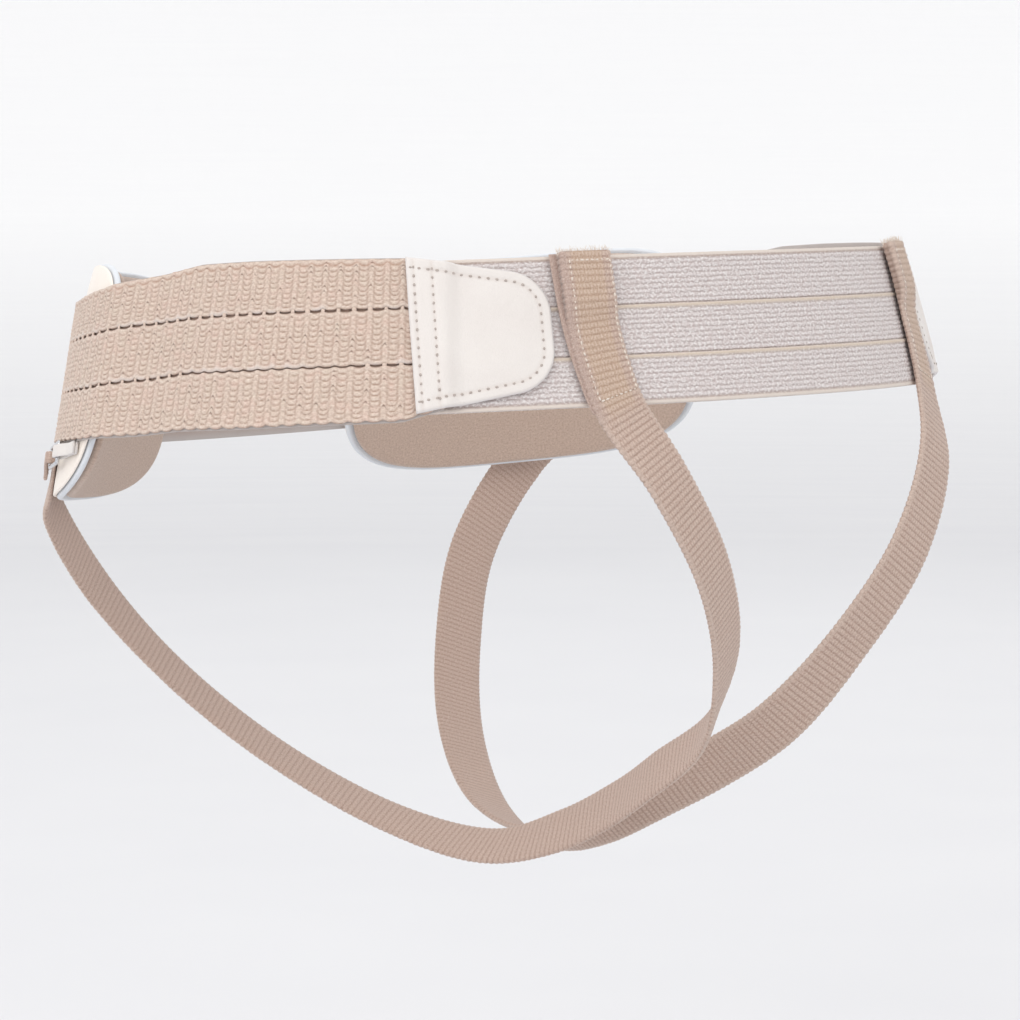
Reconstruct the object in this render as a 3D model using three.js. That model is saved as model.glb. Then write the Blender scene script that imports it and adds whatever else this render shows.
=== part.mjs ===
import * as THREE from 'three';

// Hips that the belt is shaped to: wearer faces -Y, wearer's left is +X
const hipHalfWidth = 155.7;
const hipHalfDepth = 124.2;
const hipSquareness = 2.17;
const backRise = 8.1;
const frontDrop = 15;
const frontLean = 7.8;
const backLean = 17;

// Clearance between two faces that touch
const seat = 0.3;

// Elastic band across the back, in three lanes parted by two raised welts
const backBandWidth = 50;
const backBandThick = 1.8;
const weltWidth = 1.8;
const weltHeight = 0.4;

// Knitted band round the front, in three lanes parted by two grooves
const frontBandWidth = 54;
const frontBandThick = 2.2;
const frontBandStart = 134.5;
const bandOverlap = 80;
const grooveWidth = 2;
const grooveDepth = 0.8;

// Heights of the front band's edges and lane lines, as shares of its width; `from` is the distance
// past the pads' rear edge, as a share of the pads' width. Stretched over the pads, the band narrows
const frontBandHeights = [
  { from: -0.956, top: 0.44, upper: 0.165, lower: -0.165, foot: -0.467 },
  { from: -0.864, top: 0.472, upper: 0.17, lower: -0.169, foot: -0.505 },
  { from: -0.474, top: 0.508, upper: 0.187, lower: -0.157, foot: -0.502 },
  { from: -0.312, top: 0.516, upper: 0.191, lower: -0.149, foot: -0.491 },
  { from: -0.129, top: 0.464, upper: 0.172, lower: -0.174, foot: -0.508 },
  { from: 0.018, top: 0.42, upper: 0.138, lower: -0.202, foot: -0.519 },
  { from: 0.232, top: 0.38, upper: 0.12, lower: -0.207, foot: -0.519 },
];

// Leather tab that joins the two bands on each side
const tabLength = 45;
const tabOverlap = 10.2;
const tabThick = 1.6;
const tabStep = 6;
const tabTallEnd = 51.5;
const tabLowEnd = 36;
const tabCorner = 12;
const tabSlant = 4;

// Pad on each side of the front: cushion, board and leather cover
const padRear = 264.5;
const padWidth = 136;
const padTop = 34.5;
const padFoot = 47.5;
const padTopPower = 5;
const padFootPower = 3.8;
const padCrown = 2;
const padCrownFrom = 0.8;
const padRamp = 28;
const cushionThick = 3.8;
const cushionInset = 1.5;
const boardThick = 2.1;
const coverThick = 1.3;
const coverInset = 0.8;

// Wire ring on each pad, and the leather chape that holds it
const ringBehind = 29;
const ringDrop = 0.6;
const ringTilt = 5;
const ringLength = 17;
const ringWidth = 5.6;
const ringCorner = 1.2;
const ringWire = 1.4;
const chapeThick = 1;
const chapeLength = 13;

// Elastic leg strap, sewn to the back band and looped through the ring
const strapWidth = 19;
const strapThick = 2.2;
const strapArcTop = 86.8;
const strapArcFoot = 80.5;
const strapArcPower = 2.4;
const strapFold = 16;
const strapEndThick = 1;
const strapReturn = 12;
const crotchDepth = 180;

// Way of the left leg strap past the band, as shares of half the hips' width,
// half their depth and the drop to the crotch, with the way that its face looks
const strapWay = [
  { across: 0.465, back: 1.064, down: 0.222, face: 3, dip: 3 },
  { across: 0.341, back: 1.09, down: 0.397, face: -8, dip: -5 },
  { across: 0.213, back: 1.005, down: 0.571, face: -18, dip: -14 },
  { across: 0.13, back: 0.85, down: 0.72, face: -44, dip: -20 },
  { across: 0.1, back: 0.63, down: 0.821, face: -70, dip: -28 },
  { across: 0.062, back: 0.447, down: 0.892, face: -78, dip: -32 },
  { across: 0.058, back: 0.25, down: 0.957, face: -88, dip: -40 },
  { across: 0.086, back: 0.016, down: 1, face: -115, dip: -60 },
  { across: 0.16, back: -0.258, down: 0.961, face: -165, dip: -60 },
  { across: 0.302, back: -0.531, down: 0.844, face: -192, dip: -42 },
  { across: 0.475, back: -0.74, down: 0.678, face: -203, dip: -20 },
  { across: 0.642, back: -0.862, down: 0.489, face: -207, dip: -4 },
];

// Way of the left leg strap over the pad, as shares of the ring's length ahead of and
// below its front bar, how far the strap is gathered to go through the ring, and its lift
// off the pad as a share of its thickness
const strapOnPad = [
  { ahead: 1.47, below: 0.97, gather: 0.05, lift: 0.5 },
  { ahead: 1, below: 0.52, gather: 0.3, lift: 0.15 },
  { ahead: 0.5, below: 0.2, gather: 0.65, lift: 0 },
];

// Steps that the curved pieces are cut into
const arcStep = 9;
const strapSteps = 5;
const padSteps = 20;
const turnSteps = 6;
const wireSides = 6;

const radians = THREE.MathUtils.degToRad;

// Plan of the hips, walked once round from the middle of the back
function hipPlan(turn) {
  const power = 2 / hipSquareness;
  const bend = (value) => Math.sign(value) * Math.abs(value) ** power;
  return { x: hipHalfWidth * bend(Math.sin(turn)), y: hipHalfDepth * bend(Math.cos(turn)) };
}

function walkHips() {
  const steps = 1440;
  const walk = [{ arc: 0, ...hipPlan(0) }];
  for (let step = 1; step <= steps; step += 1) {
    const last = walk[step - 1];
    const next = hipPlan((2 * Math.PI * step) / steps);
    walk.push({ arc: last.arc + Math.hypot(next.x - last.x, next.y - last.y), ...next });
  }
  return walk;
}

const hipWalk = walkHips();
const girth = hipWalk[hipWalk.length - 1].arc;

// Point of the hips' plan at a length of arc from the middle of the back
function hipPoint(arc) {
  const along = ((arc % girth) + girth) % girth;
  let low = 0;
  let high = hipWalk.length - 1;
  while (high - low > 1) {
    const middle = (low + high) >> 1;
    if (hipWalk[middle].arc <= along) low = middle;
    else high = middle;
  }
  const share = (along - hipWalk[low].arc) / (hipWalk[high].arc - hipWalk[low].arc);
  const x = THREE.MathUtils.lerp(hipWalk[low].x, hipWalk[high].x, share);
  const y = THREE.MathUtils.lerp(hipWalk[low].y, hipWalk[high].y, share);
  const slopeX = Math.sign(x) * (Math.abs(x) / hipHalfWidth) ** (hipSquareness - 1) / hipHalfWidth;
  const slopeY = Math.sign(y) * (Math.abs(y) / hipHalfDepth) ** (hipSquareness - 1) / hipHalfDepth;
  const slope = Math.hypot(slopeX, slopeY);
  return { x, y, outX: slopeX / slope, outY: slopeY / slope };
}

// Place on the belt: arc from the middle of the back, height on the band, distance off the skin
function onHips(arc, height, off) {
  const { x, y, outX, outY } = hipPoint(arc);
  const lean = radians(THREE.MathUtils.lerp(frontLean, backLean, (outY + 1) / 2));
  const along = y / hipHalfDepth;
  const middle = ((backRise + frontDrop) * along + (backRise - frontDrop) * along * along) / 2;
  const out = off * Math.cos(lean) - height * Math.sin(lean);
  const up = off * Math.sin(lean) + height * Math.cos(lean);
  return new THREE.Vector3(x + outX * out, y + outY * out, middle + up);
}

// Directions at a place on the belt: forward along the arc, up the band and out of the skin
function hipFrame(arc, height, off) {
  const forward = onHips(arc + 1, height, off).sub(onHips(arc - 1, height, off)).normalize();
  const up = onHips(arc, height + 1, off).sub(onHips(arc, height - 1, off)).normalize();
  const out = onHips(arc, height, off + 1).sub(onHips(arc, height, off - 1)).normalize();
  return { forward, up, out };
}

// Closed body from points and triangles, with its faces turned outwards
function closedBody(points, triangles) {
  let volume = 0;
  for (const [a, b, c] of triangles) {
    volume += points[a].dot(new THREE.Vector3().crossVectors(points[b], points[c]));
  }
  const turned = volume < 0 ? triangles.map(([a, b, c]) => [a, c, b]) : triangles;
  const geometry = new THREE.BufferGeometry();
  geometry.setAttribute('position', new THREE.Float32BufferAttribute(points.flatMap((p) => p.toArray()), 3));
  geometry.setIndex(turned.flat());
  geometry.computeVertexNormals();
  return geometry;
}

// Body lofted through sections of equal count, closed by flat ends or joined into a loop
function loftedBody(sections, endOutlines) {
  const count = sections[0].length;
  const points = sections.flat();
  const triangles = [];
  const looped = endOutlines === undefined;
  const spans = looped ? sections.length : sections.length - 1;
  for (let row = 0; row < spans; row += 1) {
    const here = row * count;
    const there = ((row + 1) % sections.length) * count;
    for (let side = 0; side < count; side += 1) {
      const next = (side + 1) % count;
      triangles.push([here + side, there + side, there + next]);
      triangles.push([here + side, there + next, here + next]);
    }
  }
  if (!looped) {
    const last = (sections.length - 1) * count;
    const [firstOutline, lastOutline] = endOutlines;
    for (const [a, b, c] of THREE.ShapeUtils.triangulateShape(firstOutline, [])) {
      triangles.push([a, b, c]);
    }
    for (const [a, b, c] of THREE.ShapeUtils.triangulateShape(lastOutline, [])) {
      triangles.push([last + a, last + c, last + b]);
    }
  }
  return closedBody(points, triangles);
}

// Band along the hips: each section is an outline of heights (x) and distances off the skin (y)
function bandBody(arcs, outlineAt, slideAt = () => 0) {
  const outlines = arcs.map(outlineAt);
  const sections = arcs.map((arc, row) =>
    outlines[row].map((p) => onHips(arc + slideAt(arc, p.x), p.x, p.y)));
  return loftedBody(sections, [outlines[0], outlines[outlines.length - 1]]);
}

function mirrored(geometry) {
  const other = geometry.clone();
  other.scale(-1, 1, 1);
  const index = other.getIndex();
  for (let corner = 0; corner < index.count; corner += 3) {
    const second = index.getX(corner + 1);
    index.setX(corner + 1, index.getX(corner + 2));
    index.setX(corner + 2, second);
  }
  other.computeVertexNormals();
  return other;
}

function evenly(from, to, step) {
  const count = Math.max(2, Math.ceil(Math.abs(to - from) / step));
  return Array.from({ length: count + 1 }, (_, i) => THREE.MathUtils.lerp(from, to, i / count));
}

// Outline of a band in three lanes, with a ridge (or a groove, below zero) between lanes
function laneOutline(heights, thick, off, ridgeWidth, ridgeHeight) {
  const { top, upper, lower, foot } = heights;
  const outline = [
    new THREE.Vector2(foot, off),
    new THREE.Vector2(top, off),
    new THREE.Vector2(top, off + thick),
  ];
  for (const lane of [upper, lower]) {
    for (const [share, rise] of [[0.5, 0], [0.25, 1], [-0.25, 1], [-0.5, 0]]) {
      outline.push(new THREE.Vector2(lane + ridgeWidth * share, off + thick + ridgeHeight * rise));
    }
  }
  outline.push(new THREE.Vector2(foot, off + thick));
  return outline;
}

// Distances off the skin, from the innermost piece outwards
const onBackBand = backBandThick + seat;
const boardOff = cushionThick + seat;
const coverOff = boardOff + boardThick + seat;
const coverTop = coverOff + coverThick;
const overPad = coverTop + seat;

function backBand() {
  const reach = frontBandStart + bandOverlap;
  const [top, upper] = [backBandWidth / 2, backBandWidth / 6];
  const heights = { top, upper, lower: -upper, foot: -top };
  const outline = laneOutline(heights, backBandThick, 0, weltWidth, weltHeight);
  return bandBody(evenly(-reach, reach, arcStep), () => outline);
}

// The front band lies on the back band at the sides and climbs onto the pads
function frontBandOff(arc) {
  const side = Math.min(arc, girth - arc);
  const onWelts = onBackBand + weltHeight;
  const climb = THREE.MathUtils.smoothstep(side, padRear - padRamp, padRear - seat);
  return THREE.MathUtils.lerp(onWelts, overPad, climb);
}

function frontHeights(arc) {
  const from = (Math.min(arc, girth - arc) - padRear) / padWidth;
  const next = frontBandHeights.findIndex((row) => row.from >= from);
  const after = frontBandHeights[next < 0 ? frontBandHeights.length - 1 : next];
  const before = frontBandHeights[next <= 0 ? frontBandHeights.indexOf(after) : next - 1];
  const share = before === after ? 0 : (from - before.from) / (after.from - before.from);
  const heightOf = (edge) => frontBandWidth * THREE.MathUtils.lerp(before[edge], after[edge], share);
  return { top: heightOf('top'), upper: heightOf('upper'), lower: heightOf('lower'), foot: heightOf('foot') };
}

function frontBand() {
  const arcs = evenly(frontBandStart, girth - frontBandStart, arcStep);
  return bandBody(arcs, (arc) =>
    laneOutline(frontHeights(arc), frontBandThick, frontBandOff(arc), grooveWidth, -grooveDepth));
}

// Half the tab's height, from its rounded end to its straight end
function tabHalfHeight(along) {
  const slope = (tabTallEnd - tabLowEnd) / 2 / tabLength;
  const half = tabLowEnd / 2 + slope * along;
  if (along >= tabCorner) return half;
  const rest = tabCorner - along;
  return half - tabCorner + Math.sqrt(Math.max(0, tabCorner ** 2 - rest ** 2));
}

// The tab lies on the back band and steps up onto the end of the front band; its straight end slants
function tabBody() {
  const tallArc = frontBandStart + tabOverlap;
  const roundArc = tallArc - tabLength;
  const lowOff = onBackBand + weltHeight;
  const highOff = lowOff + frontBandThick + seat;
  const corner = [0.01, 0.07, 0.2, 0.4, 0.7].map((share) => roundArc + tabCorner * share);
  const flat = evenly(roundArc + tabCorner, frontBandStart - tabStep - seat, arcStep);
  const step = evenly(frontBandStart - tabStep, frontBandStart - seat, tabStep / 3);
  const arcs = [...corner, ...flat, ...step, ...evenly(frontBandStart + seat, tallArc, tabOverlap / 2)];
  return bandBody(arcs, (arc) => {
    const rise = THREE.MathUtils.smoothstep(arc, frontBandStart - tabStep, frontBandStart - seat);
    const off = THREE.MathUtils.lerp(lowOff, highOff, rise);
    const half = tabHalfHeight(arc - roundArc);
    return [
      new THREE.Vector2(-half, off),
      new THREE.Vector2(half, off),
      new THREE.Vector2(half, off + tabThick),
      new THREE.Vector2(-half, off + tabThick),
    ];
  }, (arc, height) => {
    const past = Math.max(0, (arc - frontBandStart) / tabOverlap);
    return tabSlant * (height / tabTallEnd) * past;
  });
}

// Distance off the skin at a height on the pad, whose cushion thins towards its top edge
function padOff(off, height) {
  const middle = (padTop - padFoot) / 2;
  const share = Math.max(0, (height - middle) / (padTop - middle));
  return off - padCrown * share ** 3 * Math.min(1, off / cushionThick);
}

// Height above and below the pad's middle line at a share of its half width
function padHeights(share, inset) {
  const middle = (padTop - padFoot) / 2;
  const half = (padTop + padFoot) / 2 - inset;
  const reach = Math.min(1, Math.abs(share));
  const top = middle + half * (1 - reach ** padTopPower) ** (1 / padTopPower);
  const foot = middle - half * (1 - reach ** padFootPower) ** (1 / padFootPower);
  return { top, foot };
}

// One layer of the pad, its edges eased on the inner or the outer side
function padLayer(innerOff, outerOff, inset, innerEase, outerEase) {
  const half = padWidth / 2 - inset;
  const middle = padRear + padWidth / 2;
  const turns = Array.from({ length: padSteps + 1 }, (_, i) => THREE.MathUtils.lerp(174, 6, i / padSteps));
  const shares = turns.map((turn) => Math.cos(radians(turn)));
  const arcs = shares.map((share) => middle + half * share);
  return bandBody(arcs, (arc) => {
    const share = (arc - middle) / half;
    const { top, foot } = padHeights(share, inset);
    const room = Math.min(1, (half * (1 - Math.abs(share))) / (innerEase + outerEase));
    const innerRim = innerOff + (1 - room) * Math.min(innerEase, (outerOff - innerOff) / 3);
    const rimOff = (innerOff + outerOff) / 2;
    const crown = THREE.MathUtils.lerp(foot, top, padCrownFrom);
    const places = [
      [foot + innerEase, innerRim],
      [crown, innerRim],
      [top - innerEase, innerRim],
      [top, rimOff],
      [top - outerEase, outerOff],
      [crown, outerOff],
      [foot + outerEase, outerOff],
      [foot, rimOff],
    ];
    return places.map(([height, off]) => new THREE.Vector2(height, padOff(off, height)));
  });
}

const cushionBody = () => padLayer(0, cushionThick, cushionInset, 2, 0.6);
const boardBody = () => padLayer(boardOff, boardOff + boardThick, 0, 0.3, 0.3);
const coverBody = () => padLayer(coverOff, coverTop, coverInset, 0.2, 0.4);

// The ring lies just off the cover, under the front band's lower edge
const ringArc = padRear + ringBehind;
const wireRadius = ringWire / 2;
const ringOff = overPad + strapEndThick + seat + wireRadius;
const loopWidth = ringWidth + ringWire - 2 * ringCorner - seat;
const bandFoot = frontBandWidth * frontBandHeights[frontBandHeights.length - 1].foot;
const ringHeight = bandFoot - ringDrop - ringWire - ringWidth / 2;

function ringFrame() {
  const centre = onHips(ringArc, ringHeight, ringOff);
  const { forward, out } = hipFrame(ringArc, ringHeight, ringOff);
  const pull = forward.applyAxisAngle(out, radians(ringTilt));
  const across = new THREE.Vector3().crossVectors(pull, out).normalize();
  return { centre, pull, across, out };
}

// Middle of one of the ring's two short bars: -1 at the chape, 1 at the strap
function ringBar(end) {
  const { centre, pull, across, out } = ringFrame();
  const middle = centre.clone().addScaledVector(pull, (end * (ringLength + ringWire)) / 2);
  return { middle, inward: pull.clone().multiplyScalar(-end), across, out };
}

function ringBody() {
  const { centre, pull, across, out } = ringFrame();
  const halfLong = (ringLength + ringWire) / 2;
  const halfWide = (ringWidth + ringWire) / 2;
  const outline = [];
  for (let quarter = 0; quarter < 4; quarter += 1) {
    const signLong = quarter === 0 || quarter === 3 ? 1 : -1;
    const signWide = quarter < 2 ? 1 : -1;
    for (let step = 0; step <= 4; step += 1) {
      const turn = radians(90 * quarter + 22.5 * step);
      const along = signLong * (halfLong - ringCorner) + ringCorner * Math.cos(turn);
      const aside = signWide * (halfWide - ringCorner) + ringCorner * Math.sin(turn);
      outline.push({ along, aside, turn });
    }
  }
  const sections = outline.map(({ along, aside, turn }) => {
    const middle = centre.clone().addScaledVector(pull, along).addScaledVector(across, aside);
    const away = pull.clone().multiplyScalar(Math.cos(turn)).addScaledVector(across, Math.sin(turn));
    return Array.from({ length: wireSides }, (_, side) => {
      const angle = (2 * Math.PI * (side + 0.5)) / wireSides;
      const point = middle.clone().addScaledVector(away, wireRadius * Math.cos(angle));
      return point.addScaledVector(out, wireRadius * Math.sin(angle));
    });
  });
  return loftedBody(sections);
}

// Section of a flat strap: a rectangle with eased corners, across (x) and through (y)
function strapOutline(width, thick) {
  const ease = thick * 0.3;
  const corners = [[1, 1], [-1, 1], [-1, -1], [1, -1]];
  return corners.flatMap(([x, y]) => {
    const level = new THREE.Vector2(x * (width / 2 - ease), (y * thick) / 2);
    const upright = new THREE.Vector2((x * width) / 2, y * (thick / 2 - ease));
    return x * y > 0 ? [upright, level] : [level, upright];
  });
}

function strapBody(stations) {
  const outlines = stations.map(({ width, thick }) => strapOutline(width, thick));
  const sections = stations.map(({ centre, across, out }, row) => outlines[row].map((p) =>
    centre.clone().addScaledVector(across, p.x).addScaledVector(out, p.y)));
  return loftedBody(sections, [outlines[0], outlines[outlines.length - 1]]);
}

// Stations of a strap that bends round a ring's bar, from its inner to its outer side
function barTurn(bar, width, thick) {
  const radius = wireRadius + seat + thick / 2;
  return Array.from({ length: turnSteps + 1 }, (_, step) => {
    const turn = (Math.PI * step) / turnSteps;
    const centre = bar.middle.clone().addScaledVector(bar.out, -radius * Math.cos(turn));
    centre.addScaledVector(bar.inward, radius * Math.sin(turn));
    const out = bar.out.clone().multiplyScalar(Math.cos(turn));
    out.addScaledVector(bar.inward, -Math.sin(turn)).normalize();
    const across = bar.across.clone();
    return { centre, across, out, width, thick };
  });
}

// Second layer of a strap, laid back on the stations of its first layer
function laidBack(stations, thick, turned) {
  const clear = thick + seat;
  return stations.map((station, row) => {
    const drop = THREE.MathUtils.smoothstep(row, -1, stations.length - 1);
    const lift = THREE.MathUtils.lerp(turned, clear, drop);
    const centre = station.centre.clone().addScaledVector(station.out, lift);
    return { ...station, centre, out: station.out.clone().negate() };
  });
}

// The chape is a strip of leather folded round the ring's rear bar, both ends on the cover
function chapeBody() {
  const bar = ringBar(-1);
  const width = loopWidth;
  const radius = wireRadius + seat + chapeThick / 2;
  const barArc = ringArc - (ringLength + ringWire) / 2;
  const rise = Math.tan(radians(ringTilt));
  const arcs = evenly(barArc - chapeLength, barArc - ringWire, chapeLength / 4);
  const lower = arcs.map((arc) => {
    const height = ringHeight + (ringArc - arc) * rise;
    const off = overPad + chapeThick / 2;
    const { forward, out } = hipFrame(arc, height, off);
    const pull = forward.applyAxisAngle(out, radians(ringTilt));
    const across = new THREE.Vector3().crossVectors(pull, out).normalize();
    return { centre: onHips(arc, height, off), across, out, width, thick: chapeThick };
  });
  const upper = laidBack([...lower].reverse(), chapeThick, 2 * radius);
  return strapBody([...lower, ...barTurn(bar, width, chapeThick), ...upper]);
}

function lookOf(face, dip) {
  const level = Math.cos(radians(dip));
  return new THREE.Vector3(level * Math.sin(radians(face)), level * Math.cos(radians(face)), Math.sin(radians(dip)));
}

// Places that the leg strap's first layer passes, each with its width, thickness and outward look
function strapPlaces() {
  const onBelt = (height, thick) => {
    const share = (backBandWidth / 2 - height) / backBandWidth;
    const arc = THREE.MathUtils.lerp(strapArcTop, strapArcFoot, Math.max(0, share) ** strapArcPower);
    const off = onBackBand + weltHeight + thick / 2;
    const { out } = hipFrame(arc, height, off);
    return { centre: onHips(arc, height, off), out, width: strapWidth, thick };
  };
  const top = backBandWidth / 2 + seat;
  const places = [
    onBelt(top, 2 * strapThick),
    onBelt(top - strapFold, 2 * strapThick),
    onBelt(top - strapFold * 1.5, strapThick),
    onBelt(-backBandWidth / 4, strapThick),
    onBelt(-backBandWidth / 2 - strapThick, strapThick),
  ];
  for (const { across, back, down, face, dip } of strapWay) {
    const centre = new THREE.Vector3(hipHalfWidth * across, hipHalfDepth * back, -crotchDepth * down);
    places.push({ centre, out: lookOf(face, dip), width: strapWidth, thick: strapThick });
  }
  const bar = ringBar(1);
  const barArc = ringArc + (ringLength + ringWire) / 2;
  for (const { ahead, below, gather, lift } of strapOnPad) {
    const arc = barArc + ringLength * ahead;
    const height = ringHeight - ringLength * below;
    const width = THREE.MathUtils.lerp(strapWidth, loopWidth, gather);
    const thick = THREE.MathUtils.lerp(strapThick, strapEndThick, gather);
    const { out } = hipFrame(arc, height, overPad);
    const off = overPad + thick * (lift + 0.5);
    places.push({ centre: onHips(arc, height, off), out, width, thick });
  }
  const radius = wireRadius + seat + strapEndThick / 2;
  const foot = bar.middle.clone().addScaledVector(bar.out, -radius);
  foot.addScaledVector(bar.inward, -radius);
  places.push({ centre: foot, out: bar.out, width: loopWidth, thick: strapEndThick });
  return places;
}

// Stations along a smooth curve through the places
function strapStations(places) {
  const way = new THREE.CatmullRomCurve3(places.map((p) => p.centre));
  const looks = new THREE.CatmullRomCurve3(places.map((p) => p.out));
  const count = (places.length - 1) * strapSteps;
  return Array.from({ length: count + 1 }, (_, step) => {
    const share = step / count;
    const spot = share * (places.length - 1);
    const before = places[Math.floor(spot)];
    const after = places[Math.ceil(spot)];
    const part = spot - Math.floor(spot);
    const along = way.getTangent(share);
    const out = looks.getPoint(share);
    out.addScaledVector(along, -out.dot(along)).normalize();
    const across = new THREE.Vector3().crossVectors(along, out).normalize();
    const width = THREE.MathUtils.lerp(before.width, after.width, part);
    const thick = THREE.MathUtils.lerp(before.thick, after.thick, part);
    return { centre: way.getPoint(share), across, out, width, thick };
  });
}

function legStrapBody() {
  const stations = strapStations(strapPlaces());
  const turn = barTurn(ringBar(1), loopWidth, strapEndThick);
  let length = 0;
  const back = [];
  for (let row = stations.length - 1; row > 0 && length < strapReturn; row -= 1) {
    back.push(stations[row]);
    length += stations[row].centre.distanceTo(stations[row - 1].centre);
  }
  const radius = wireRadius + seat + strapEndThick / 2;
  const upper = laidBack(back, strapThick, 2 * radius);
  return strapBody([...stations, ...turn, ...upper]);
}

const backElastic = () => new THREE.MeshStandardMaterial({ color: 0xd9cfca, roughness: 0.9, metalness: 0 });
const frontKnit = () => new THREE.MeshStandardMaterial({ color: 0xd9bfae, roughness: 0.95, metalness: 0 });
const strapElastic = () => new THREE.MeshStandardMaterial({ color: 0xbda28d, roughness: 0.95, metalness: 0 });
const creamLeather = () => new THREE.MeshStandardMaterial({ color: 0xefe7dd, roughness: 0.55, metalness: 0 });
const whiteBoard = () => new THREE.MeshStandardMaterial({ color: 0xe9ecf0, roughness: 0.6, metalness: 0 });
const tanCushion = () => new THREE.MeshStandardMaterial({ color: 0xc2a593, roughness: 0.95, metalness: 0 });
const nickel = () => new THREE.MeshStandardMaterial({ color: 0xc9ccd0, roughness: 0.25, metalness: 1 });

function named(name, geometry, material) {
  const mesh = new THREE.Mesh(geometry, material);
  mesh.name = name;
  return mesh;
}

const pairedPieces = [
  { name: 'tab', body: tabBody, look: creamLeather },
  { name: 'pad_cushion', body: cushionBody, look: tanCushion },
  { name: 'pad_board', body: boardBody, look: whiteBoard },
  { name: 'pad_cover', body: coverBody, look: creamLeather },
  { name: 'ring', body: ringBody, look: nickel },
  { name: 'ring_chape', body: chapeBody, look: creamLeather },
  { name: 'leg_strap', body: legStrapBody, look: strapElastic },
];

const herniaBelt = new THREE.Group();
herniaBelt.add(named('back_band', backBand(), backElastic()));
herniaBelt.add(named('front_band', frontBand(), frontKnit()));
for (const { name, body, look } of pairedPieces) {
  const left = body();
  herniaBelt.add(named(`left_${name}`, left, look()));
  herniaBelt.add(named(`right_${name}`, mirrored(left), look()));
}

export default herniaBelt;
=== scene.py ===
# %% [markdown]
# # A hernia belt, dressed for its picture
#
# The real belt is webbing, knitted elastic and leather, worn round the hips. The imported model
# holds every piece at its true size. Here each piece gets its surface: loops of yarn, ribs,
# stitches, leather grain and metal, laid on the same curve round the hips.

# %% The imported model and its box
import math
import bpy
import numpy as np
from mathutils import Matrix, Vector


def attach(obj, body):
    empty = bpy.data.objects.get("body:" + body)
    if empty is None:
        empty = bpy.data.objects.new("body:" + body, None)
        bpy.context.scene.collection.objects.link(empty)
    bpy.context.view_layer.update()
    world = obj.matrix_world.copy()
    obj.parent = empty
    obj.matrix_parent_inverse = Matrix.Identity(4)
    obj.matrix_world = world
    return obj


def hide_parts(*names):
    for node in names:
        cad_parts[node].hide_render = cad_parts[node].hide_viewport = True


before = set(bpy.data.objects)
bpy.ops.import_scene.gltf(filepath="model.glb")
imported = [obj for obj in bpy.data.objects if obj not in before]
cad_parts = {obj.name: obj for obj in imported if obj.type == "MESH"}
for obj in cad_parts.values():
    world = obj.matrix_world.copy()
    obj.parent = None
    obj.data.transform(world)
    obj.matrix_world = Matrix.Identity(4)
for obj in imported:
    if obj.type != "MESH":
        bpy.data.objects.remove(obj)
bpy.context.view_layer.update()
MM = 0.001
print("nodes of the packed model:", len(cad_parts))

# %% [markdown]
# ## Where the picture is taken from
#
# The belt is seen from behind the wearer's left side, a little above level, from about a metre
# and a half. A long lens keeps the two bands nearly parallel, so the camera comes first, and
# each piece is judged through it.

# %% The camera
view_turn = math.radians(131.51)
view_rise = math.radians(4.9)
view_distance = 1566 * MM
view_middle = Vector((0, 0, -61.8 * MM))
lens_mm = 156.1

camera_data = bpy.data.cameras.new("camera")
camera_data.lens = lens_mm
camera_data.sensor_width = 36
camera = bpy.data.objects.new("camera", camera_data)
bpy.context.scene.collection.objects.link(camera)
level = math.cos(view_rise)
backwards = Vector((math.sin(view_turn) * level, -math.cos(view_turn) * level, math.sin(view_rise)))
camera.location = view_middle + backwards * view_distance
camera.rotation_euler = backwards.to_track_quat("Z", "Y").to_euler()
bpy.context.scene.camera = camera
print("camera stands", round(camera.location.length, 3), "m from the hips' middle")

# %% [markdown]
# ## The hips' curve
#
# Everything on the belt follows one closed curve, a rounded oval, so a place on the belt is
# said by three lengths: how far along the curve from the middle of the back, how high on the
# band, and how far off the skin. Bending flat patterns round that curve is how the real belt
# is made too, and it keeps every lane and stitch row parallel.

# %% Places on the hips
hip_half_width = 155.7 * MM
hip_half_depth = 124.2 * MM
hip_squareness = 2.17
back_rise = 8.1 * MM
front_drop = 15 * MM
front_lean = 7.8
back_lean = 17

turns = np.linspace(0, 2 * math.pi, 2881)
power = 2 / hip_squareness
walk_x = hip_half_width * np.sign(np.sin(turns)) * np.abs(np.sin(turns)) ** power
walk_y = hip_half_depth * np.sign(np.cos(turns)) * np.abs(np.cos(turns)) ** power
walk_arc = np.concatenate([[0], np.cumsum(np.hypot(np.diff(walk_x), np.diff(walk_y)))])
girth = walk_arc[-1]


def hip_frame(arc):
    along = np.mod(arc, girth)
    x = np.interp(along, walk_arc, walk_x)
    y = np.interp(along, walk_arc, walk_y)
    slope_x = np.sign(x) * (np.abs(x) / hip_half_width) ** (hip_squareness - 1) / hip_half_width
    slope_y = np.sign(y) * (np.abs(y) / hip_half_depth) ** (hip_squareness - 1) / hip_half_depth
    slope = np.hypot(slope_x, slope_y)
    return x, y, slope_x / slope, slope_y / slope


def on_hips(arc, height, off):
    arc, height, off = np.broadcast_arrays(arc, height, off)
    x, y, out_x, out_y = hip_frame(arc)
    lean = np.radians(front_lean + (back_lean - front_lean) * (out_y + 1) / 2)
    along = y / hip_half_depth
    middle = ((back_rise + front_drop) * along + (back_rise - front_drop) * along**2) / 2
    out = off * np.cos(lean) - height * np.sin(lean)
    up = off * np.sin(lean) + height * np.cos(lean)
    return np.stack([x + out_x * out, y + out_y * out, middle + up], axis=-1)


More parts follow.
